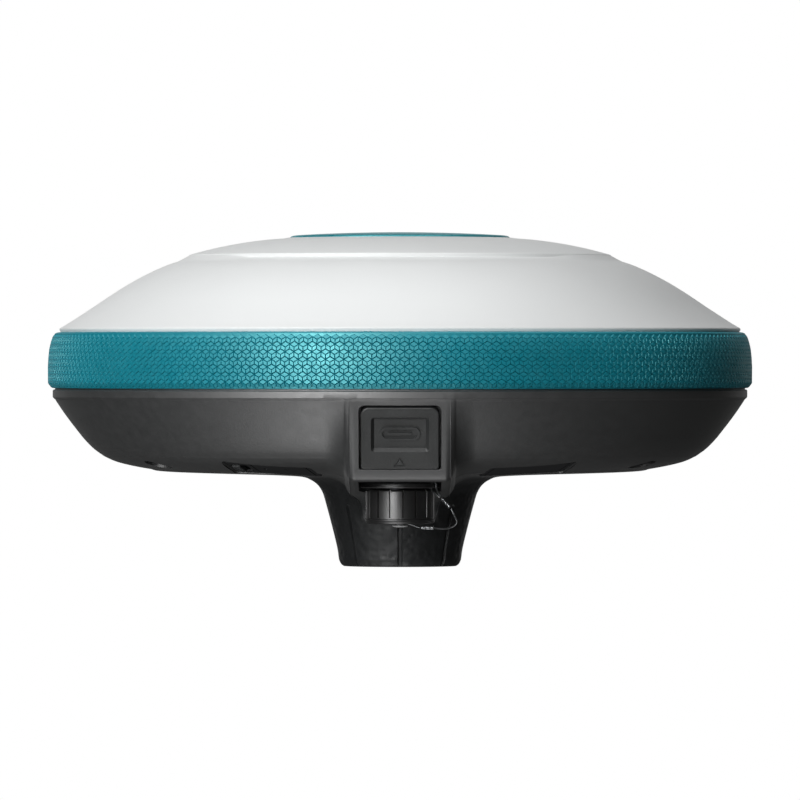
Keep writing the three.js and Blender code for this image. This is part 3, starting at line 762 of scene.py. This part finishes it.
def make_band():
    pitch = 2 * pi * BODY_R / COLUMNS
    points, faces, known = [], [], {}

    def corner(column, height):
        """A sunk corner that neighbouring lozenges share."""
        key = (round(2 * column) % (2 * COLUMNS), round(height * 50))
        if key not in known:
            known[key] = len(points)
            points.append(band_point(column, height, GROOVE_DEPTH))
        return known[key]

    def lozenge(corners):
        """A raised flat between four sunk corners."""
        flat = [(c * pitch, h) for c, h in corners]
        inset = grown(flat, -GROOVE)
        first = len(points)
        for x, h in inset:
            points.append(band_point(x / pitch, h, 0))
        low = [corner(c, h) for c, h in corners]
        faces.append(tuple(range(first, first + 4)))
        for n in range(4):
            after = (n + 1) % 4
            faces.append((low[n], low[after], first + after, first + n))

    for row in range(ROWS):
        top = ROW_TOP - ROW_STEP * row
        shift = 0.5 * (row % 2)
        for column in range(COLUMNS):
            c = column + shift
            left, right = c - 0.5, c + 0.5
            low, foot, side = top - SLANT, top - SLANT - UPRIGHT, top - UPRIGHT
            lozenge([(c, low), (right, top), (c, top + SLANT), (left, top)])
            lozenge([(left, side), (c, foot), (c, low), (left, top)])
            lozenge([(c, foot), (right, side), (right, top), (c, low)])

    # plain rings above and below the pattern, then the hidden faces
    above = [(78.42, 52.72), (78.3, 52.84), (77.9, 53.02), (77.4, BAND_Z[1])]
    above += [(SKIRT_R[1] + GAP, BAND_Z[1]), (SKIRT_R[1] + GAP, BAND_Z[0])]
    above += [(78.6, BAND_Z[0]), (79.05, 40.48), (79.16, 40.56)]
    rings = []
    for radius, height in above:
        ring = []
        for step in range(2 * COLUMNS):
            angle = pi * step / COLUMNS
            ring.append(len(points))
            points.append((radius * cos(angle), radius * sin(angle), height))
        rings.append(ring)
    upper, lower = [], []
    last = ROW_TOP - ROW_STEP * (ROWS - 1)
    last_shift = 0.5 * ((ROWS - 1) % 2)
    for step in range(2 * COLUMNS):
        column = step / 2
        on_peak = step % 2 == 0
        upper.append(corner(column, ROW_TOP + SLANT if on_peak else ROW_TOP))
        on_foot = (step % 2 == 0) == (last_shift == 0)
        lower.append(corner(column, last - SLANT - UPRIGHT if on_foot else last - UPRIGHT))
    band = raw("grip_band", points, faces + skin([upper, *rings, lower]))
    finished(band, "teal_band", "receiver", "bumper_band", angle=22)


make_band()

# ---- lower housing
# side view from the neck's foot to the rim: each run of points is one curve or bend
BOWL = [
    [(0, 0), (NECK_R - 0.5, 0)],
    [(NECK_R, 0.35), (13.85, 1.4), (14.3, 4.3), (15.65, 9.8), (17.1, 15.2)],
    [(17.1, 15.2), (17.6, 16.7), (18.6, 18.3), (20.2, 19.5), (22.7, 20.3), (30, 20.72)],
    [(30, 20.72), (52.3, 21.45), (57.0, 22.1), (61.5, 22.95), (64.8, 23.85), (67.3, 25.0)],
    [
        (67.3, 25.0), (69.5, 26.6), (71.6, 28.7), (73.3, 30.8), (75.0, 33.0), (76.6, 35.2),
        (78.0, 37.3),
    ],
    [(78.0, 37.3), (78.35, 37.85), (78.75, 38.2), (RIM_R, 38.5)],
    [(RIM_R, 38.5), (RIM_R, RIM_Z - 0.25), (RIM_R - 0.2, RIM_Z), (RIM_R - 0.5, RIM_Z)],
    [(RIM_R - 0.5, RIM_Z), (RIM_R - 0.55, BAND_Z[0] - 0.02), (SKIRT_R[1] + 0.5, BAND_Z[0] - 0.02)],
    [(SKIRT_R[1] + 0.5, BAND_Z[0] - 0.02), (SKIRT_R[1] + 0.4, RIM_Z), (0, RIM_Z)],
]
# distance between rings along each run
BOWL_STEPS = (6.0, 0.5, 0.4, 0.55, 0.4, 0.2, 1.0, 1.0, 1.0)
FRONT_X = 17.0  # half width of the stretch that the hood shapes
REST_COLUMNS = 260
NECK_LEAN = 11.7  # degrees the neck's grooves lean outwards
ROOT_R = 22.0  # inside this radius the columns turn round the neck
FILLET = 5.6  # radius of the hollow beside the hood
NOSE = 1.3  # roundness of the hood's edges
HOOD_Z = (9.0, 39.6)  # heights between which the hood is drawn out
HOOD_SOFT = 0.35  # how softly the hood's top and bottom run into the bowl


def hood_outline():
    """Side view of the hood, as y and z."""
    top = np.array((-78.62, 39.8))
    lip = through([(-72.0, 21.6), (-71.35, 20.55), (-70.4, 20.05), (-69.2, 19.9)], 0.2)
    root = through([(-34, 17.4), (-26, 16.6), (-21, 15.4), (-16.6, 13.4), (-12, 9.0)], 0.5)
    return [top, *lip, *root]


def hood_push():
    """How far the bowl lies behind the hood along a forward and downward diagonal."""
    outline = np.array(hood_outline())
    along = (outline[:, 0] + outline[:, 1]) / sqrt(2)
    across = (outline[:, 0] - outline[:, 1]) / sqrt(2)
    order = np.argsort(across)
    return across[order], along[order]


def hood_share(x):
    """1 across the hood, then a hollow fillet that runs out on the bowl."""
    x = abs(x)
    if x <= CHIN_HALF - NOSE:
        return 1.0
    if x >= CHIN_HALF + FILLET:
        return 0.0
    q = (x - CHIN_HALF) / FILLET
    side = 1 - sqrt(max(0.0, 1 - (1 - max(q, 0)) ** 2))
    nose = sqrt(max(0.0, 1 - ((x - CHIN_HALF + NOSE) / (2 * NOSE)) ** 2))
    return max(side, nose) if q > 0 else max(nose, 0.9)


def bowl_surface():
    """The bowl and neck, closed on the pole axis, with the hood drawn out of its front."""
    rows = []
    for points, step in zip(BOWL, BOWL_STEPS):
        run = straight(points, step) if len(points) < 4 or step > 0.9 else through(points, step)
        rows += [tuple(p) for p in run if not rows or np.linalg.norm(np.array(rows[-1]) - p) > 0.02]
    across, along = hood_push()

    corner = np.linspace(CHIN_HALF - 1.6, CHIN_HALF + 2, 30)
    inner = np.linspace(0, CHIN_HALF - 1.6, 26)[:-1]
    outer = np.linspace(CHIN_HALF + 2, FRONT_X, 14)[1:]
    half = np.concatenate([inner, corner, outer])
    front = np.concatenate([-half[:0:-1], half])

    def angles(radius):
        """Each column's angle at a radius, counted from the front."""
        reach = max(radius, ROOT_R)
        ahead = np.arcsin(front / reach)
        edge = ahead[-1]
        around = np.linspace(edge, 2 * pi - edge, REST_COLUMNS + 2)[1:-1]
        return np.concatenate([ahead, around])

    count = len(front) + REST_COLUMNS
    points, rings = [], []
    for radius, height in rows:
        if radius < 1e-6:
            rings.append([len(points)] * count)
            points.append((0, 0, height))
            continue
        ring = []
        for n, angle in enumerate(angles(radius)):
            x, y, z = radius * sin(angle), -radius * cos(angle), height
            share = hood_share(front[n]) if n < len(front) else 0.0
            if share > 0 and HOOD_Z[0] < z < HOOD_Z[1]:
                here = (y - z) / sqrt(2)
                push = (y + z) / sqrt(2) - float(np.interp(here, across, along))
                push = 0.5 * (push + sqrt(push * push + HOOD_SOFT * HOOD_SOFT)) - HOOD_SOFT / 8
                if here < across[0] or here > across[-1]:
                    push = 0.0
                y -= max(push, 0) * share / sqrt(2)
                z -= max(push, 0) * share / sqrt(2)
            ring.append(len(points))
            points.append((x, y, z))
        rings.append(ring)
    return raw("bowl", points, skin(rings))


def join_fittings(shell):
    """The pad behind the panel, the walls of the card bay, and the posts inside."""
    pad = (PANEL_HALF[0] + 2, PANEL_HALF[1] + 1.2)
    pad_sides = [(-4, 2.4), (-0.5, 0.35), (-0.12, 0.1), (0.02, -0.15)]
    join(
        shell,
        stack("panel_pad", pane(*pad, 2.2), pad_sides, PANEL),
        box("bay_walls", (-7.8, -5.8, 0.6), (7.8, 5.8, 10), DOOR),
        *[disc("boss", 4.8, 26, 30, on_circle(SCREW_R, a)) for a in SCREW_ANGLES],
        *[disc("stand", 3, 22.4, BOARD_Z - GAP, at) for at in STANDOFFS],
    )


def cut_openings(shell):
    """The bore, the port, the card bay, the panel's seat, and all the holes and grooves."""
    doors = (DOOR_SIZE[0] / 2, DOOR_SIZE[1] / 2)
    recess = rounded(-9, -14.58, 9, 0.4, 1.2, 0.5)
    window = rounded(-5.9, PORT_Y - 3.4, 5.9, PORT_Y + 2.9, 1.2)
    door = pane(doors[0] + 0.3, doors[1] + 0.3, 0.9)
    plate = pane(*doors, 0.9)
    panel = pane(PANEL_HALF[0] + GAP, PANEL_HALF[1] + GAP, 1.7)
    slot = [(-SLOT_HALF, -75), (SLOT_HALF, -75), *arc((0, JACK_Y), SLOT_HALF, 0, 180, 41)]
    bore = [(0, -1), (INSERT_R + 0.9, -1), (INSERT_R + 0.9, 0), (INSERT_R + GAP, 0.6)]
    bore += [(INSERT_R + GAP, SOCKET_DEPTH + 0.4), (0, SOCKET_DEPTH + 0.4)]
    tools = [
        lathe("bore", bore, 96),
        stack("cap_slot", slot, [(5, 0), (SLOT_TOP, 0)]),
        disc("jack_hole", 4.9, 10, 30, ON_JACK),
        stack("port_recess", recess, [(-2.2, 0), (-0.2, 0), (0.1, 0.22), (6, 0.22)], PORT),
        stack("port_window", window, [(-6, 0), (0, 0)], PORT),
        box("port_pocket", (-9, -13, -15), (9, -2.2, -4.9), PORT),
        stack("door_recess", door, [(-6, 0.25), (-0.1, 0.25), (0.2, 0), (DOOR_T + 0.3, 0)], DOOR),
        box("card_bay", (-6.6, -4.6, 0), (6.6, 4.6, 9), DOOR),
        stack("plate_recess", plate, [(-6, 0.2), (-0.1, 0.2), (0.15, 0), (0.9, 0)], PLATE),
        stack("panel_recess", panel, [(-1.5, 0), (-0.1, 0), (0.15, 0.25), (4, 0.25)], PANEL),
        disc("button_way", 5, -9.5, -0.5, (0, 0), PANEL),
        *[disc("pipe_way", 1.3, -9.5, -0.5, at, PANEL) for at in PIPES],
    ]
    for angle in SCREW_ANGLES:
        at = on_circle(SCREW_R, angle)
        seat = [(0, 15), (3.1, 15), (3.1, 26), (0, 26)]
        tools.append(lathe("screw_seat", seat, 48, at=at))
        tools.append(disc("screw_hole", 1.7, 15, 31, at))
    tools += [disc("stand_hole", 1.5, 26, 32, at) for at in STANDOFFS]
    for angle in range(0, 360, 45):
        turn = turned("Z", angle) @ Matrix.Translation((NECK_R + 0.6, 0, 0))
        lean = turn @ turned("Y", NECK_LEAN) @ turned("Y", 90)
        way = rounded(-14.2, -0.42, 3, 0.42, 0.4)
        levels = [(-0.95, -0.1), (-0.8, 0.02), (0.05, 0.32), (1.6, 0.42)]
        tools.append(stack("neck_groove", way, levels, lean))
    cut(shell, *tools)


def make_housing():
    shell = bowl_surface()
    inside = [(0, RIM_Z + 1), (75.9, RIM_Z + 1), (75.9, 39), (72.4, 39), (72, 33), (70.2, 29.8)]
    inside += [(67.4, 27.2), (60.2, 25), (50, FLOOR_Z + 0.7), (22.7, FLOOR_Z), (0, FLOOR_Z)]
    cut(shell, lathe("hollow", inside, 240))
    join_fittings(shell)
    cut_openings(shell)
    shell.name = "bowl_housing"
    finished(shell, "housing", "receiver", "lower_housing", angle=30)


make_housing()


# ---- pole thread and screws
POLE_PITCH = 2.309  # 5/8-11
JACK_PITCH = 0.907  # 7/16-28
SCREW_PITCH = 0.8
TOOTH_SLOPE = 1.35
TOOTH_ROOT = 0.17


def thread(pitch, low, high, start, stop):
    """Moves a turned outline in and out as a screw thread between two heights."""

    def vary(angle, r, z):
        if not start < z < stop or not min(low, high) - 1e-6 <= r <= max(low, high) + 1e-6:
            return r, z
        phase = (z / pitch - angle / (2 * pi)) % 1.0
        tooth = min(max(TOOTH_SLOPE * abs(2 * phase - 1) - TOOTH_ROOT, 0), 1)
        fade = min(1.0, (z - start) / pitch, (stop - z) / pitch)
        return low + (high - low) * tooth * fade, z

    return vary


def make_insert():
    foot, head = GAP + 0.9, SOCKET_DEPTH - 0.3
    inner = [(THREAD_R, z) for z in np.arange(head, foot, -0.12)]
    outline = [(THREAD_R + 0.7, GAP), (INSERT_R - 0.15, GAP), (INSERT_R, GAP + 0.15)]
    outline += [(INSERT_R, 7), (INSERT_R - 0.6, 7.6), (INSERT_R - 0.6, 12), (INSERT_R, 12.6)]
    outline += [(INSERT_R, SOCKET_DEPTH), (THREAD_R + 0.5, SOCKET_DEPTH), *inner]
    vary = thread(POLE_PITCH, THREAD_R, THREAD_R + 0.95, foot, head)
    insert = lathe("pole_thread", outline, 90, vary)
    finished(insert, "brass", "receiver", "thread_insert", angle=40)


def make_screws():
    for n, angle in enumerate(SCREW_ANGLES):
        at = on_circle(SCREW_R, angle)
        outline = [(0, 24.0), (2.45, 24.0), (2.75, 24.12), (2.88, 24.4), (2.9, 25.55), (2.75, 25.7)]
        outline += [(1.3, 25.7), (1.3, 26.4)] + [(1.3, z) for z in np.arange(26.6, 39.6, 0.14)]
        outline += [(1.3, 39.8), (0.9, 40.4), (0, 40.8)]
        vary = thread(SCREW_PITCH, 1.3, 1.02, 26.5, 39.7)
        screw = lathe(f"case_screw_{n + 1}", outline, 32, vary, at)
        hexagon = [on_circle(1.45 / cos(pi / 6), 60 * k + 30) for k in range(6)]
        spot = Matrix.Translation((*at, 0))
        cut(screw, stack("key", hexagon, [(23, 0.12), (24.0, 0.1), (24.12, 0), (25.2, 0)], spot))
        finished(screw, "steel", "receiver", f"housing_screw_{n + 1}", material=BLACK_OXIDE)


make_insert()
make_screws()

# ---- charging port cover
COVER_FACE = (-6.4, -10.37, 6.4, -2.3)
FACE_DEPTH = 0.8


def make_port_cover():
    outline = rounded(-COVER_W / 2, -COVER_H, COVER_W / 2, -0.05, 1.8, 0.6)
    cover = stack("port_cover", outline, eased(-COVER_T, 0, 0.28), PORT)
    knuckle_half = COVER_W / 2 - 1.8
    pin = Matrix.Translation((0, -COVER_T / 2, -COVER_T / 2))
    across = PORT @ pin @ turned("Y", 90)
    barrel = disc("barrel", COVER_T / 2, -knuckle_half, knuckle_half, matrix=across)
    plug = rounded(-5.3, PORT_Y - 2.5, 5.3, PORT_Y + 2.5, 1.1)
    hollow = rounded(-4.3, PORT_Y - 1.5, 4.3, PORT_Y + 1.5, 0.8)
    lip = [(-3.9, -0.2), (-3.6, 0), (-1, 0)]
    join(cover, barrel, stack("plug", plug, lip, PORT))
    x0, y0, x1, y1 = COVER_FACE
    face = rounded(x0, y0, x1, y1, 0.75)
    # a groove round the triangle and one round the face's lower edge
    triangle = [(-1.35, -13.72), (1.35, -13.72), (0, -11.55)]
    cut(
        cover,
        stack("hollow", hollow, [(-5, 0.2), (-3.9, 0.1), (-3.6, 0), (-2.3, 0)], PORT),
        stack("face", face, [(-FACE_DEPTH, -0.72), (0, 0), (1, 0)], PORT),
        hoop("triangle", triangle, 0.3, -0.22, 1, PORT),
    )
    # generic sign for the port: the connector's mouth and its tongue
    middle = (y0 + y1) / 2
    mouth = rounded(-4.4, middle - 1.55, 4.4, middle + 1.55, 1.54)
    tongue = rounded(-2.6, middle - 0.26, 2.6, middle + 0.26, 0.25)
    top = -FACE_DEPTH + 0.38
    join(
        cover,
        hoop("mouth", mouth, 0.5, -FACE_DEPTH - 0.2, top, PORT),
        stack("tongue", tongue, [(-FACE_DEPTH - 0.2, 0), (top, 0)], PORT),
    )
    finished(cover, "cover_rubber", "usb_cover", "usb_cover", flat=True)


make_port_cover()


# ---- antenna connector
def make_connector():
    barrel_z = np.arange(JACK_END + 0.5, 17.6, 0.06)
    outline = [(4.1, JACK_END + 0.15), (4.25, JACK_END), (JACK_R - 0.45, JACK_END)]
    outline += [(JACK_R, z) for z in barrel_z]
    outline += [(JACK_R - 0.4, 17.7), (JACK_R - 0.4, 18.2), (6.5, 18.2), (6.6, 18.3), (6.6, 19.4)]
    outline += [(4.6, 19.4), (4.6, 28), (1.6, 28), (1.6, 19), (4.1, 19)]
    vary = thread(JACK_PITCH, JACK_R, JACK_R - 0.42, JACK_END + 0.4, 17.7)
    body = lathe("connector_barrel", outline, 72, vary, ON_JACK)
    finished(body, "plate_dark", "receiver", "connector_body", angle=40, material=BLACK_NICKEL)

    outline = [(6.95, 18.2), (8.45, 18.2), (8.65, 18.28), (8.8, 18.45), (8.8, 19.1), (8.65, 19.3)]
    outline += [(6.95, 19.3)]
    ring = lathe("hanger_ring", outline, 128, at=ON_JACK)
    eye = on_circle(8.05, -30)
    cut(ring, disc("eye", 0.34, 17, 20, (eye[0], eye[1] + JACK_Y)))
    finished(ring, "cap_black", "receiver", "lanyard_ring")


RIBS = 16
RIB_TURN = 5.3


def make_cap():
    low, high = CAP_Z
    outline = [(1.1, 11), (4.6, 11), (4.75, 10.5), (4.95, low + 0.03), (5.1, low), (7.15, low)]
    outline += [(7.45, 10.32), (7.68, 10.6), (CAP_R + 0.15, 10.95), (CAP_R + 0.15, 11.2)]
    outline += [(CAP_R, 11.36), (CAP_R, 17.35), (CAP_R - 0.12, 17.65), (CAP_R - 0.45, high)]
    outline += [(6.05, high), (5.9, 17.7)] + [(5.9, z) for z in np.arange(17.5, 13.4, -0.06)]
    outline += [(5.9, 13.2), (5.9, 12), (1.1, 12)]
    vary = thread(JACK_PITCH, 5.9, 5.62, 13.3, 17.55)
    cap = lathe("dust_cup", outline, 128, vary, ON_JACK)
    grooves = []
    for n in range(RIBS):
        stand = JACK @ turned("Z", 360 / RIBS * n + RIB_TURN) @ turned("Y", 90)
        way = rounded(-20, -0.15, -11.6, 0.15, 0.14)
        levels = [(-0.4, -0.08), (-0.05, 0.04), (0.03, 0.09), (1, 0.09)]
        levels = [(CAP_R + out, grow) for out, grow in levels]
        grooves.append(stack("groove", way, levels, stand))
    cut(cap, *grooves)
    finished(cap, "cap_black", "dust_cap", "dust_cap", angle=26)

    head = [(0, 0), (0.7, 0.01), (1.3, 0.1), (1.68, 0.26), (1.78, 0.38), (1.74, 0.48), (0.8, 0.5)]
    outline = [(r, RIVET_Z + z) for r, z in head]
    outline += [(0.8, 12.3), (1.5, 12.3), (1.6, 12.4), (1.5, 12.75), (0, 12.8)]
    rivet = lathe("cap_rivet_head", outline, 64, at=ON_JACK)
    finished(rivet, "steel", "dust_cap", "cap_rivet", material=BRIGHT_RIVET)


make_connector()
make_cap()

# ---- lanyard, mm
FERRULE_TOP = ((9.35, -41.6, 15.95), (11.2, -42.1, 13.95))
FERRULE_LOW = ((7.5, -37.3, 9.3), (4.7, -36.5, 9.42))
WIRE_PATH = [
    (11.42, -42.14, 13.65), (12.1, -42.2, 12.2), (12.65, -41.9, 10.95), (12.3, -41.1, 10.0),
    (11.2, -40.0, 9.4), (9.6, -38.7, 9.12), (7.85, -37.5, 9.24),
]
EYE_TOP = [
    (9.12, -41.78, 16.3), (8.45, -41.3, 17.3), (8.12, -40.72, 18.2), (8.02, -40.66, 19.05),
    (7.62, -40.4, 19.6), (7.12, -40.12, 19.45), (6.97, -40.03, 18.9), (6.97, -40.03, 18.2),
    (7.15, -40.25, 17.65), (8.0, -41.0, 16.9), (8.9, -41.35, 16.1),
]
EYE_LOW = [
    (4.35, -36.15, 9.5), (2.9, -35.2, 10.0), (1.2, -34.72, 10.4), (-0.5, -34.8, 10.45),
    (-1.3, -36, 10.45), (-0.5, -37.2, 10.45), (1.2, -37.2, 10.4), (2.9, -36.95, 9.95),
    (4.35, -36.68, 9.4),
]
CRIMPS = (0.32, 0.68)  # where the sleeve is pressed, along its length
CRIMP_DEPTH = 0.16


def ferrule(name, ends, body, node):
    """A crimped sleeve: round at its ends, pressed to a waist in two places."""
    start, stop = Vector(ends[0]), Vector(ends[1])
    length = (stop - start).length
    outline = [(0, 0), (0.34, 0), (0.46, 0.06), (0.5, 0.18)]
    outline += [(0.5, z) for z in np.linspace(0.25, length - 0.25, 30)]
    outline += [(0.5, length - 0.18), (0.46, length - 0.06), (0.34, length), (0, length)]

    def crimp(angle, r, z):
        if r < 0.49:
            return r, z
        for spot in CRIMPS:
            near = abs(z / length - spot) * length / 0.3
            if near < 1:
                return r * (1 - CRIMP_DEPTH * (1 - near * near) * abs(sin(angle)) ** 0.7), z
        return r, z

    sleeve = lathe(name, outline, 32, crimp)
    spin = Vector((0, 0, 1)).rotation_difference(stop - start).to_matrix().to_4x4()
    sleeve.data.transform(Matrix.Translation(start) @ spin)
    finished(sleeve, "steel", body, node, material=DULL_STEEL)


def make_lanyard():
    ferrule("crimp_upper", FERRULE_TOP, "receiver", "ferrule_upper")
    ferrule("crimp_lower", FERRULE_LOW, "cap_swivel", "ferrule_lower")
    for name, points, body, node in (
        ("rope_eye_upper", EYE_TOP, "receiver", "lanyard_eye_upper"),
        ("rope_eye_lower", EYE_LOW, "cap_swivel", "lanyard_eye_lower"),
    ):
        finished(rope(name, points), "steel", body, node, angle=70, material=DULL_STEEL)
    wire = rope("lanyard_rope", WIRE_PATH)
    finished(wire, "steel", None, "lanyard_wire", angle=70, material=DULL_STEEL)
    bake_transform(wire)


make_lanyard()


# ---- control panel
def symbol(name, outlines, height, body):
    """Thin printed signs joined as one piece."""
    levels = [(height - 0.04, 0), (height, 0), (height + 0.05, -0.03)]
    made, *others = [stack(name, outline, levels, PANEL) for outline in outlines]
    finished(join(made, *others), "light_pipe", body, material=PRINT)


def make_panel():
    hx, hy = PANEL_HALF
    face = pane(hx, hy, 1.4)
    panel = stack("panel_face", face, eased(-1.2, 0.3, 0.22), PANEL)
    lead = [(-3, 0), (0.1, 0), (0.32, 0.2), (2, 0.2)]
    ways = [stack("way", arc(at, PIPE_R + 0.15, 0, 345, 24), lead, PANEL) for at in PIPES]
    key = stack("key_way", arc((0, 0), BUTTON_R + GAP, 0, 355, 72), lead, PANEL)
    border = hoop("border", pane(hx - 0.9, hy - 0.9, 0.8), 0.18, 0.2, 1, PANEL)
    cut(panel, key, border, *ways)
    finished(panel, "plate_dark", "receiver", "control_panel", flat=True)

    button = stack("power_key", arc((0, 0), BUTTON_R, 0, 357, 120), eased(-2, 0.9, 0.5), PANEL)
    join(button, disc("stem", 1.6, -4.3, -1, (0, 0), PANEL))
    dish = [(0, 0.72), (2.6, 0.8), (3.3, 0.95), (0, 0.95)]
    hollow = lathe("dish", dish, 96)
    hollow.data.transform(PANEL)
    cut(button, hollow)
    finished(button, "cover_rubber", "power_button", "power_button", flat=True)

    ring = stroke(arc((0, -0.15), 1.45, 128, 412, 40), 0.32)
    bar = rounded(-0.16, 0.1, 0.16, 1.75, 0.15)
    symbol("power_sign", [ring, bar], 0.77, "power_button")

    for side, name in ((-1, "left"), (1, "right")):
        low, high = sorted((side * 8.2, side * 14.8))
        guide = box(f"indicator_{name}", (low, -1.2, -7.4), (high, 1.2, -5.6), PANEL)
        rims = [arc((side * x, 0), PIPE_R, 0, 345, 24) for x in PIPE_X]
        join(guide, *[stack("lens", rim, eased(-6, 0.4, 0.3), PANEL) for rim in rims])
        finished(guide, "light_pipe", "receiver", f"light_guide_{name}")

    y = 3.0
    cell = rounded(-14.5, y - 0.55, -12.5, y + 0.55, 0.15)
    tip = rounded(-12.45, y - 0.25, -12.2, y + 0.25, 0.1)
    card = [(-10.4, y - 0.8), (-8.8, y - 0.8), (-8.8, y + 0.4), (-9.2, y + 0.8), (-10.4, y + 0.8)]
    waves = [stroke(arc((9.0, y - 0.6), r, 5, 85, 12), 0.24) for r in (0.7, 1.25, 1.8)]
    bars = [(12.3 + 0.75 * n, y - 0.8, 12.8 + 0.75 * n, y - 0.2 + 0.5 * n) for n in range(3)]
    signs = {
        "battery": [cell, tip],
        "card": [card],
        "radio": waves,
        "signal": [rounded(*bar, 0.08) for bar in bars],
    }
    for name, outlines in signs.items():
        symbol(f"sign_{name}", outlines, 0.31, "receiver")


make_panel()


# ---- card door and rating plate
def make_door():
    x, y = DOOR_SIZE[0] / 2, DOOR_SIZE[1] / 2
    flipped = [(DOOR_T, 0), (0.25, 0), (0.08, -0.08), (0, -0.25)]
    door = stack("card_hatch", pane(x, y, 0.6), flipped, DOOR)
    bay = rounded(-x + 0.8, -3.4, -x + 4.6, 3.4, 0.5)
    tools = [stack("bay", bay, [(-2, 0.15), (0.02, 0.12), (0.14, 0), (0.75, 0)], DOOR)]
    # two dimples and a frame line moulded into the door's face
    tools += [disc("dimple", 0.55, -1, 0.2, (at, 0), DOOR, 32) for at in (-1.6, 3.2)]
    tools += [hoop("line", rounded(-x + 5.6, -y + 1, x - 1, y - 1, 0.5), 0.25, -1, 0.16, DOOR)]
    cut(door, *tools)
    finished(door, "plate_dark", "card_door", "card_door", flat=True)

    slide = stack(
        "hatch_latch",
        rounded(-x + 1.1, -3.1, -x + 3.1, 3.1, 0.4),
        [(0.45, 0), (-0.3, 0), (-0.44, -0.06), (-0.5, -0.2)],
        DOOR,
    )
    low, high = -x + 1.3, -x + 2.9
    gaps = [((low, at - 0.14, -1), (high, at + 0.14, -0.3)) for at in (-2, -1, 0, 1, 2)]
    cut(slide, *[box("tooth", *corners, DOOR) for corners in gaps])
    finished(slide, "housing", "door_latch", "door_latch", flat=True, material=LATCH_GREY)

    inset = [(0.6, 0), (0.12, 0), (0, -0.12)]
    label = stack("blank_label", pane(x - 0.3, y - 0.3, 0.6), inset, PLATE)
    cut(label, hoop("line", pane(x - 1.2, y - 1.2, 0.4), 0.2, -1, 0.1, PLATE))
    finished(label, "plate_dark", "receiver", "rating_plate", flat=True)


make_door()

# ---- finishes of the pieces inside
INSIDE = {
    "seal": ["housing_seal", "cap_gasket", "radio_coax"],
    "steel": ["usb_receptacle", "card_socket", "patch_screw"]
    + [f"antenna_screw_{n}" for n in (1, 2, 3)],
    "brass": ["connector_contact", "connector_nut"]
    + [f"antenna_standoff_{n}" for n in (1, 2, 3)],
    "circuit_board": ["usb_board", "button_board", "main_board", "data_antenna"],
    "black_moulding": ["button_switch", "motion_sensor", "battery_tray", "speaker"],
    "shield_can": [
        "gnss_module", "radio_module", "modem_module", "wireless_module", "amplifier_shield",
    ],
    "cell_wrap": ["battery_cell_1", "battery_cell_2"],
    "aluminium": ["ground_plane"],
    "ceramic": ["lower_patch", "upper_patch"],
}
for slot_name, nodes in INSIDE.items():
    for node in nodes:
        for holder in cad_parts[node].material_slots:
            holder.material = FINISHES[slot_name]


# ---- floor and light
def seen_white(tree, output, unseen, white, values):
    """Plain white to the camera, and another shader to every other ray."""
    nodes, links = tree.nodes, tree.links
    nodes.clear()
    out = nodes.new(output)
    mix = nodes.new("ShaderNodeMixShader")
    seen = nodes.new("ShaderNodeLightPath")
    other, bright = nodes.new(unseen), nodes.new(white)
    fill(other, values)
    fill(bright, {"Color": (1, 1, 1, 1)})
    links.new(seen.outputs["Is Camera Ray"], mix.inputs["Fac"])
    links.new(other.outputs[0], mix.inputs[1])
    links.new(bright.outputs[0], mix.inputs[2])
    links.new(mix.outputs[0], out.inputs["Surface"])


FLOOR_REACH = 12.0
FLOOR_DROP = 0.0002  # keeps the floor clear of the neck's foot
AMBIENT = 0.035
LIGHT_AIM = 0.045


def make_stage():
    mesh = bpy.data.meshes.new("floor")
    corners = [(-1, -1), (1, -1), (1, 1), (-1, 1)]
    points = [(x * FLOOR_REACH, y * FLOOR_REACH, 0) for x, y in corners]
    mesh.from_pydata(points, [], [(0, 1, 2, 3)])
    backdrop = bpy.data.materials.new("backdrop")
    backdrop.use_nodes = True
    grey = {"Color": (0.5, 0.5, 0.5, 1)}
    output = "ShaderNodeOutputMaterial"
    seen_white(
        backdrop.node_tree, output, "ShaderNodeBsdfDiffuse", "ShaderNodeEmission", grey
    )
    mesh.materials.append(backdrop)
    floor = placed("floor", mesh)
    floor.location.z = -FLOOR_DROP
    # a translucent table: light passes it, and it throws none back
    floor.visible_shadow = False
    floor.visible_diffuse = False
    floor.visible_glossy = False

    world = bpy.data.worlds.new("studio")
    bpy.context.scene.world = world
    world.use_nodes = True
    soft = {"Color": (1, 1, 1, 1), "Strength": AMBIENT}
    background = "ShaderNodeBackground"
    seen_white(world.node_tree, "ShaderNodeOutputWorld", background, background, soft)


def area_light(name, azimuth, elevation, distance, size, power):
    """A soft light aimed at the object, azimuth counted from the camera's side."""
    data = bpy.data.lights.new(name, "AREA")
    data.shape = "RECTANGLE"
    data.size, data.size_y = size
    data.energy = power
    lamp = placed(name, data)
    lamp.visible_camera = False
    a, e = radians(azimuth), radians(elevation)
    away = Vector((sin(a) * cos(e), -cos(a) * cos(e), sin(e)))
    target = Vector((0, 0, LIGHT_AIM))
    lamp.location = target + away * distance
    lamp.rotation_euler = (-away).to_track_quat("-Z", "Y").to_euler()


make_stage()
area_light("key", -26, 13, 1.3, (0.48, 0.8), 13.4)
area_light("low", -34, -68, 1.1, (0.5, 0.5), 2.6)
area_light("left", -60, 55, 1.4, (0.8, 0.8), 6.0)
area_light("front", 0, 62, 1.4, (1.0, 0.5), 2.5)
area_light("right", 65, 62, 1.4, (0.8, 0.8), 1.6)
area_light("overhead", 180, 80, 1.4, (1.0, 0.8), 3.0)
area_light("behind", 180, 6, 2.2, (3.2, 1.3), 5.7)
bpy.context.scene.view_settings.view_transform = "Standard"
bpy.context.scene.view_settings.look = "None"
